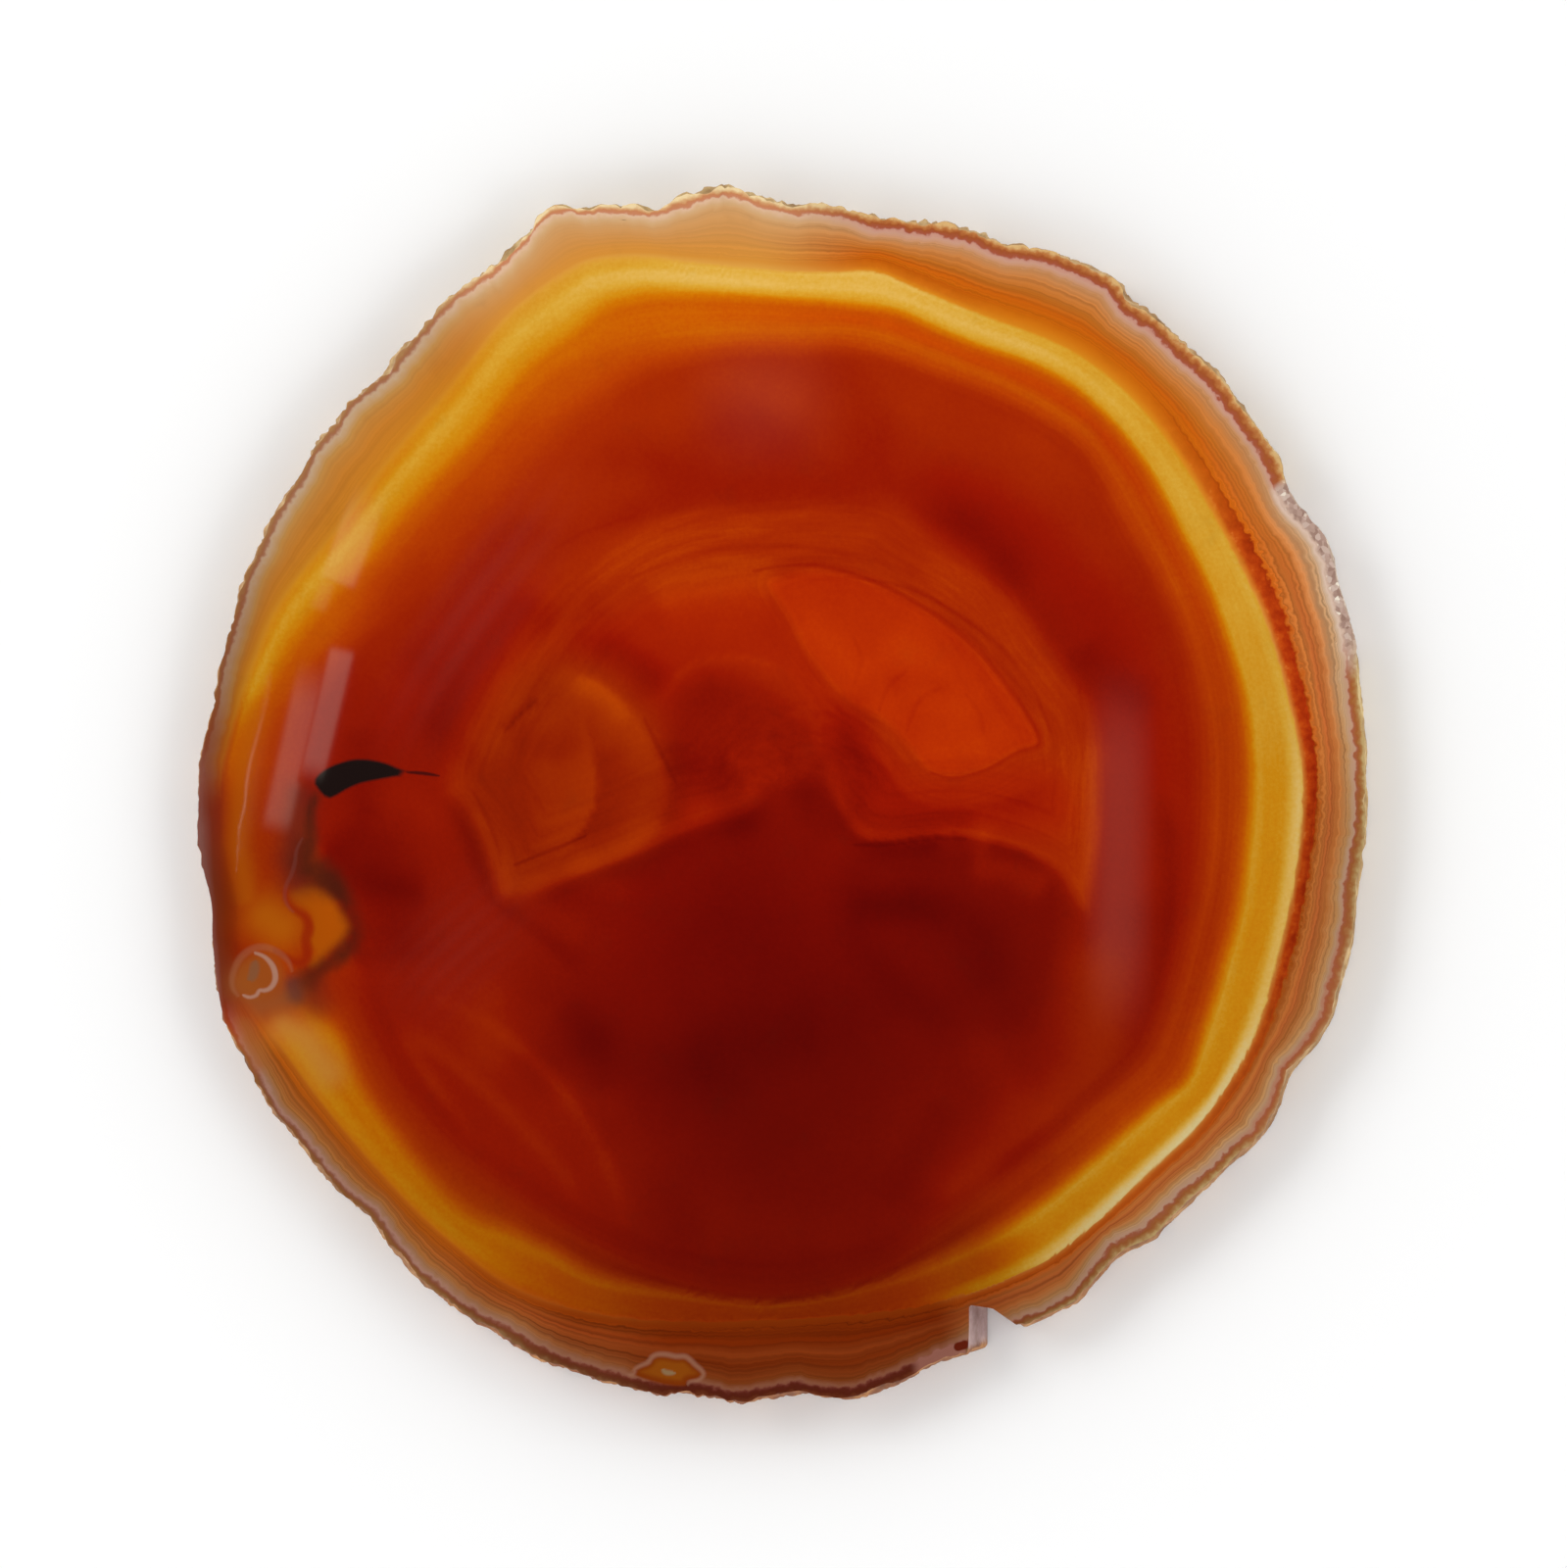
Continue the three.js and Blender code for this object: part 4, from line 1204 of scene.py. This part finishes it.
def skin_colour(finish, band, coordinates, blur, red, thread):
    """The bands outside the cream one: a ramp for each stretch of the rim, with a ragged red line on the
    right, and fine threads of light and dark."""
    calc, times, step = finish.calc, finish.times, finish.step
    top, crest, upper_left = finish.field("skin_high")
    lower_left, deep, _ = finish.field("skin_low")
    rosy = finish.field("marks")[1]
    outward = calc("DIVIDE", calc("SUBTRACT", band, 4.0), 4.0)
    skins = {name: finish.ramp(outward, colour_stops(rows, 4, 4)) for name, rows in SKIN_COLOURS.items()}

    still = calc("MAXIMUM", finish.times_plus(lower_left, -0.85, blur), 0.0)
    calm = calc("MAXIMUM", times(top, 0.45), times(crest, 0.75))
    striping = times(step(band, 4.6, 5.0), step(band, 6.6, 6.1))
    striping = times(striping, calc("SUBTRACT", 1.0, times(still, 0.8)))
    striping = times(striping, calc("SUBTRACT", 1.0, calm))
    tone = finish.times_plus(times(thread, striping), 1.7, 1.0)

    serrated = times(step(band, 4.06, 4.4), step(band, 5.02, 4.9))
    mottled = finish.times_plus(step(band, 4.2, 4.95), -0.3, finish.noise(coordinates, 900.0, 3.0, 0.6))
    flush = times(step(band, 5.5, 6.2), step(band, 6.9, 6.2))
    rust = calc("MAXIMUM", times(rosy, -1.0), 0.0)
    skin = finish.layers(
        skins["right"],
        (top, skins["top"]),
        (times(serrated, red), finish.ramp(mottled, colour_stops(MOTTLED_RED))),
        (times(flush, calc("MAXIMUM", rosy, 0.0)), (196, 164, 130)),
        (times(step(band, 6.4, 6.8), rust), (184, 100, 66)),
        (crest, skins["crest"]),
        (upper_left, skins["upper_left"]),
        (lower_left, skins["lower_left"]),
        (deep, skins["deep"]),
    )
    return finish.darkened(skin, tone)


def whorl_distance(finish, coordinates, wave):
    """The distance from the whorl's middle in mm, a little unsteady."""
    middle = (*(from_photo(WHORL_MIDDLE) + HUB) * MM, FACE_Z * MM)
    away = finish.node("ShaderNodeVectorMath", {0: coordinates, 1: middle}, operation="SUBTRACT").outputs[0]
    across, up = [finish.calc("POWER", value, 2.0) for value in finish.split(away)[:2]]
    far = finish.calc("SQRT", finish.calc("ADD", across, up))
    return finish.times_plus(far, 1 / MM, finish.times(wave, 1.3))


def left_marks(finish, colour, coordinates):
    """The smoke below the slit, the amber spot, the whorl and what lies round them."""
    times, step, stroke = finish.times, finish.step, finish.stroke
    smoke, dusk, glow = finish.field("smoke")
    halo, _, cool = finish.field("halo")
    wave = finish.sway(coordinates, 240.0, 3.0)
    wisps = finish.sway(coordinates, 520.0, 3.0, 0.6)
    spot = finish.times_plus(wave, 1.2, finish.field("marks")[0])
    drift = finish.times_plus(wave, 0.6, finish.times_plus(wisps, 0.4, smoke))
    far = whorl_distance(finish, coordinates, wave)
    radius = WHORL_RADIUS * PHOTO_PIXEL
    return finish.layers(
        colour,
        (times(glow, 0.75), (196, 104, 8)),
        (times(step(spot, -0.7, 0.9), 0.9), (184, 86, 2)),
        (dusk, (98, 32, 22)),
        (times(step(drift, 0.02, 1.0), 0.85), (62, 28, 14)),
        (stroke("red_thread", -0.5, 0.5), (158, 36, 3)),
        (times(finish.field("tints")[0], 0.6), (210, 146, 62)),
        (times(halo, 0.8), (158, 86, 40)),
        (times(cool, 0.6), (92, 52, 50)),
        (stroke("wisp", -0.2, 0.1), (140, 88, 80)),
        (times(step(far, radius + 1.0, radius - 1.0), 0.85), (164, 84, 28)),
        (stroke("whorl_heart", -0.4, 0.3), (128, 92, 66)),
        (stroke("whorl_halo", -0.3, 0.2), (172, 112, 78)),
        (stroke("whorl_ring", -0.2, 0.12), (184, 132, 110)),
    )


def edge_marks(finish, colour, band, coordinates, druse):
    """The frosted druse, the eye with its lines, the slit and other marks that no shade lies over."""
    times, step, stroke = finish.times, finish.step, finish.stroke
    slit, _, _ = finish.field("edges")
    eye, chip_spot, mauve = finish.field("marks")[2], finish.field("halo")[1], finish.field("tints")[1]
    return finish.layers(
        colour,
        (times(step(band, 6.0, 6.9), times(druse, 0.6)), (226, 208, 190)),
        # Quartz patches with painted sparkle on the druse
        (times(step(band, 7.05, 7.35), druse), finish.sparkling_crystals(coordinates, FACE_QUARTZ_AND_SPARKLE)),
        (times(step(band, 6.8, 7.1), times(mauve, 0.75)), (150, 98, 84)),
        (step(eye, -0.2, 0.25), (118, 46, 4)),
        (times(step(eye, 0.3, 1.0), 0.7), (138, 72, 10)),
        (step(chip_spot, 0.35, 0.6), (92, 26, 10)),
        (stroke("eye_line", -0.3, 0.2), (146, 100, 78)),
        (stroke("eye_middle", -0.2, 0.2), (134, 116, 84)),
        (step(slit, -0.25, 0.2), (26, 15, 13)),
        (stroke("slit_tip", -0.15, 0.1), (60, 10, 8)),
    )


def agate_colour(finish, coordinates):
    """The stone's colour: paleness inside the cream band, skin colours outside it, shaded, with its marks.
    Returns it with the band coordinate, made a little unsteady towards the rim."""
    calc, times, step = finish.calc, finish.times, finish.step
    band, shade, skin_shade = [finish.field(name)[2] for name in ("growth", "look", "skin_low")]
    blur, red, druse = finish.field("rim_look")
    kept = finish.field("wall_look")[2]
    scarlet, brown_edge, ochre = finish.field("warmth")

    swell = times(finish.ramp(calc("DIVIDE", band, 8.0), grey_stops(RIPPLE_STRENGTH, 8.0)),
                  finish.times_plus(red, 0.8, 0.2))
    swell = finish.times_plus(step(band, 6.3, 6.9), 0.85, swell)
    band = finish.times_plus(finish.sway(coordinates, 1200.0, 2.0), swell, band)

    value, thread = middle_value(finish, band, coordinates, blur, kept)
    paler, redder, browner = [finish.ramp(value, colour_stops(rows, 0, PALEST))
                              for rows in (PALENESS_COLOURS, SCARLET_COLOURS, OCHRE_COLOURS)]
    low = calc("SUBTRACT", 3.97, times(blur, 0.35))
    high = calc("ADD", 4.06, times(blur, 0.6))
    to_skin = times(step(band, low, high), kept)
    skin = skin_colour(finish, band, coordinates, blur, red, thread)
    colour = finish.layers(paler, (scarlet, redder), (ochre, browner), (to_skin, skin),
                           (brown_edge, (116, 44, 10)))
    colour = left_marks(finish, colour, coordinates)
    # Painted shade: the colour is multiplied down by the shade fields, darkest towards the bottom; the skin
    # takes skin_shade
    colour = finish.darkened(colour, finish.blend(to_skin, shade, skin_shade))
    return edge_marks(finish, colour, band, coordinates, druse), band


def polished_face():
    """Mirror polish on the banded stone, a little duller on the brown rind's cut edge and on the roll."""
    finish = Finish("polished agate")
    colour, band = agate_colour(finish, finish.coordinates())
    roughness = finish.times_plus(finish.step(band, 6.95, 7.2), CUT_RIND_ROUGHNESS, POLISH_ROUGHNESS)
    roughness = finish.times_plus(finish.field("tints")[2], DULL_ROUGHNESS, roughness)
    return finish.surface(colour, roughness)


def natural_rind():
    """The wall: rough brown skin, tan on the right and lighter along the top with painted light, pale
    quartz with painted sparkle where the rind is missing, frosted on the chip.
    """
    finish = Finish("natural rind")
    coordinates = finish.coordinates()
    druse = finish.field("rim_look")[2]
    olive, chip, _ = finish.field("wall_look")
    patches = finish.noise(coordinates, 420.0, 4.0, 0.6)
    brown, tan, frosted = [finish.ramp(patches, colour_stops(RIND_COLOURS[name]))
                           for name in ("brown", "tan", "frosted")]
    ragged = finish.times_plus(finish.calc("SUBTRACT", patches, 0.5), 1.6, druse)
    bare = finish.times(finish.step(ragged, 0.35, 0.65), 0.85)
    # The tan patches are the rind's own colour on the right and painted light along the top
    colour = finish.layers(brown, (olive, tan), (bare, finish.sparkling_crystals(coordinates, WALL_QUARTZ_AND_SPARKLE)),
                           (chip, frosted))
    roughness = finish.times_plus(finish.calc("MAXIMUM", druse, chip), -0.35, RIND_ROUGHNESS)
    bump = finish.bump(finish.noise(coordinates, 1800.0, 5.0, 0.65), 0.5, 0.00022)
    return finish.surface(colour, roughness, Normal=bump)


def sawn_back():
    """The same bands where the saw left them: dull, paler, with faint arcs of the blade."""
    finish = Finish("sawn agate")
    coordinates = finish.coordinates()
    colour, _ = agate_colour(finish, coordinates)
    feeds = {"Vector": coordinates, "Scale": 90.0, "Distortion": 1.5, "Detail": 2.0, "Detail Scale": 3.0}
    blade = finish.node("ShaderNodeTexWave", feeds, wave_type="BANDS").outputs["Fac"]
    height = finish.times_plus(blade, 0.5, finish.noise(coordinates, 1600.0, 3.0))
    colour = finish.layers(colour, (0.16, (205, 170, 150)))
    return finish.surface(colour, SAWN_ROUGHNESS, Normal=finish.bump(height, 0.3, 0.0001))


def make_stone():
    corners, triangles, finish, part_of, columns = slice_surface()
    fields = paint_fields(corners, part_of, columns)
    mesh = bpy.data.meshes.new("agate_stone")
    placed = corners.copy()
    placed[:, :2] += HUB
    mesh.from_pydata((placed * MM).tolist(), [], triangles.tolist())
    for name, values in fields.items():
        layer = mesh.attributes.new(name, "FLOAT_VECTOR", "POINT")
        layer.data.foreach_set("vector", values.astype(np.float32).ravel())
    uv = mesh.uv_layers.new(name="OFBake")
    uv.uv.foreach_set("vector", bake_map(corners, triangles, finish).astype(np.float32).ravel())
    for material in (polished_face(), natural_rind(), sawn_back()):
        mesh.materials.append(material)
    mesh.polygons.foreach_set("material_index", finish.astype(np.int32))
    mesh.polygons.foreach_set("use_smooth", np.ones(len(triangles), bool))
    mesh.update()
    mesh.set_sharp_from_angle(angle=SHARP_ANGLE)
    stone = bpy.data.objects.new("agate_stone", mesh)
    bpy.context.scene.collection.objects.link(stone)
    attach(stone, "root")
    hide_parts("agate_slice")


# Camera: the photograph's own view, tipped a little towards the lower right
LENS = 200.0
SENSOR = 36.0
CAMERA_TILT = math.radians(4.0)
CAMERA_SIDE = Vector((0.707, -0.707, 0))


def camera_place():
    """Aim and eye in mm: the eye's distance makes one photo pixel span its own width on the face."""
    x, y = from_photo(PHOTO_MIDDLE)
    aim = Vector((x + HUB[0], y + HUB[1], FACE_Z))
    distance = PHOTO_HEIGHT * PHOTO_PIXEL * LENS / SENSOR
    away = CAMERA_SIDE * math.sin(CAMERA_TILT) + Vector((0, 0, math.cos(CAMERA_TILT)))
    return aim, aim + away * distance


def make_camera():
    aim, eye = camera_place()
    data = bpy.data.cameras.new("view_from_above")
    data.lens, data.sensor_width = LENS, SENSOR
    data.clip_start, data.clip_end = 0.05, 20.0
    camera = bpy.data.objects.new("view_from_above", data)
    camera.location = eye * MM
    camera.rotation_mode = "QUATERNION"
    away = (eye - aim).normalized()
    right = Vector((0, 1, 0)).cross(away).normalized()
    camera.rotation_quaternion = Matrix((right, away.cross(right), away)).transposed().to_quaternion()
    bpy.context.scene.collection.objects.link(camera)
    bpy.context.scene.camera = camera


# Window light seen in the polish: middle and size in photo pixels, lean in degrees, brightness, how far it
# fades in from its sides and its ends, and its folds
WINDOW_GLINTS = [
    ("window_right_pane", (331, 729), (27, 146), 13.5, 1.45, 0.12, (0.2, 0.06), 0),
    ("window_left_pane", (298, 760), (34, 188), 12.5, 1.15, 0.22, (0.12, 0.3), 0),
    ("window_far", (1142, 868), (84, 410), 1, 0.42, 0.45, (0.3, 0.3), 0),
    ("window_upper_right", (361, 540), (40, 116), 20, 1.15, 0.12, (0.05, 0.6), 0),
    ("window_upper_left", (332, 592), (20, 64), 20, 0.5, 0.25, (0.1, 0.6), 0),
    ("curtain_top", (780, 405), (200, 190), 0, 0.22, 0.5, (0.5, 0.5), 0),
    ("curtain_left", (485, 620), (130, 430), 32, 0.2, 0.5, (0.5, 0.5), 5),
    ("curtain_low", (465, 965), (160, 250), 42, 0.12, 0.5, (0.5, 0.5), 9),
]
GLINT_HEIGHT = 1150.0
WINDOW_TINT = (1.0, 0.94, 0.8)
# A thin glint on the rolled edge: place, size and brightness
EDGE_GLINT = ((-0.224, 0.0622, 1.15), (0.026, 0.05), 3.0)
# The studio's two soft lights, the same way
SOFT_BOXES = {
    "soft_box_left": ((-0.95, 0.55, 0.95), (0.7, 0.7), 2.6),
    "soft_box_right": ((0.9, -0.5, 0.8), (0.6, 0.6), 1.4),
}
# The sky's brightness by height, 0 level and 1 straight up
SKY_GREYS = [(0.0, 1.0), (0.68, 1.0), (0.84, 0.1), (0.95, 0.02)]
SKY_STRENGTH = 1.46
FLOOR_HALF = 3.0
FLOOR_Z = -0.0003


def area_light(name, place, target, size, radiance, turn=0.0):
    """A soft light of a given brightness: power is pi times its area times its radiance. It faces its
    target, or straight down if it is turned."""
    data = bpy.data.lights.new(name, "AREA")
    data.shape = "RECTANGLE"
    data.size, data.size_y = size
    data.energy = math.pi * size[0] * size[1] * radiance
    light = bpy.data.objects.new(name, data)
    light.location = place
    if turn:
        light.rotation_euler = (0, 0, turn)
    else:
        light.rotation_mode = "QUATERNION"
        light.rotation_quaternion = (Vector(target) - Vector(place)).to_track_quat("-Z", "Y")
    bpy.context.scene.collection.objects.link(light)
    return data


def soften_light(data, side, ends, folds=0):
    """Fades a light towards its sides and its two ends, by shares of its width and height. Folds are soft
    waves of brightness across its width, as of a curtain."""
    data.color = WINDOW_TINT
    data.use_nodes = True
    nodes = Nodes(data.node_tree)
    shine = next(n for n in nodes.tree.nodes if n.type == "EMISSION")
    across, up, _ = nodes.split(nodes.node("ShaderNodeNewGeometry").outputs["Parametric"])
    strength = nodes.times(nodes.step(across, 0.0, side), nodes.step(across, 1.0, 1.0 - side))
    strength = nodes.times(strength, nodes.step(up, 0.0, ends[0]))
    strength = nodes.times(strength, nodes.step(up, 1.0, 1.0 - ends[1]))
    if folds:
        bend = nodes.times(nodes.calc("SINE", nodes.times(up, 5.0)), 2.5)
        wave = nodes.calc("SINE", nodes.times_plus(across, 2 * math.pi * folds, bend))
        strength = nodes.times(strength, nodes.times_plus(wave, 0.3, 0.7))
    nodes.tree.links.new(strength, shine.inputs["Strength"])


def make_lights():
    """Each glint hangs where the camera sees it mirrored at its place on the face, and is as much larger
    as it is further away."""
    _, eye = camera_place()
    depth = eye.z - FACE_Z
    grow = (depth + GLINT_HEIGHT) / depth * PHOTO_PIXEL * MM
    for name, middle, size, lean, radiance, side, ends, folds in WINDOW_GLINTS:
        x, y = from_photo(middle)
        on_face = Vector((x + HUB[0], y + HUB[1]))
        over = on_face + (on_face - eye.xy) * (GLINT_HEIGHT / depth)
        place = (over.x * MM, over.y * MM, (FACE_Z + GLINT_HEIGHT) * MM)
        size = (size[0] * grow, size[1] * grow)
        glint = area_light(name, place, (place[0], place[1], 0), size, radiance, math.radians(-lean))
        soften_light(glint, side, ends, folds)
    place, size, radiance = EDGE_GLINT
    edge = area_light("window_edge", place, (place[0], place[1], 0), size, radiance)
    soften_light(edge, 0.3, (0.35, 0.35))
    for name, (place, size, radiance) in SOFT_BOXES.items():
        area_light(name, place, (0, 0, 0), size, radiance)


def make_sky():
    """Even pale light all round, dark straight overhead so that the polish stays clear."""
    world = bpy.data.worlds.new("studio")
    bpy.context.scene.world = world
    world.use_nodes = True
    nodes = Nodes(world.node_tree)
    nodes.tree.nodes.clear()
    up = nodes.split(nodes.node("ShaderNodeTexCoord").outputs["Generated"])[2]
    feeds = {"Color": nodes.ramp(up, grey_stops(SKY_GREYS)), "Strength": SKY_STRENGTH}
    light = nodes.node("ShaderNodeBackground", feeds)
    nodes.node("ShaderNodeOutputWorld", {"Surface": light.outputs[0]})


def make_floor():
    data = bpy.data.meshes.new("floor")
    corners = [(x * FLOOR_HALF, y * FLOOR_HALF, FLOOR_Z) for x, y in ((-1, -1), (1, -1), (1, 1), (-1, 1))]
    data.from_pydata(corners, [], [(0, 1, 2, 3)])
    floor = bpy.data.objects.new("floor", data)
    finish = Finish("pale floor")
    data.materials.append(finish.surface(tint(251, 251, 251), 0.9, **{"Specular IOR Level": 0.0}))
    bpy.context.scene.collection.objects.link(floor)


make_stone()
make_camera()
make_lights()
make_sky()
make_floor()
bpy.context.scene.view_settings.view_transform = "Standard"
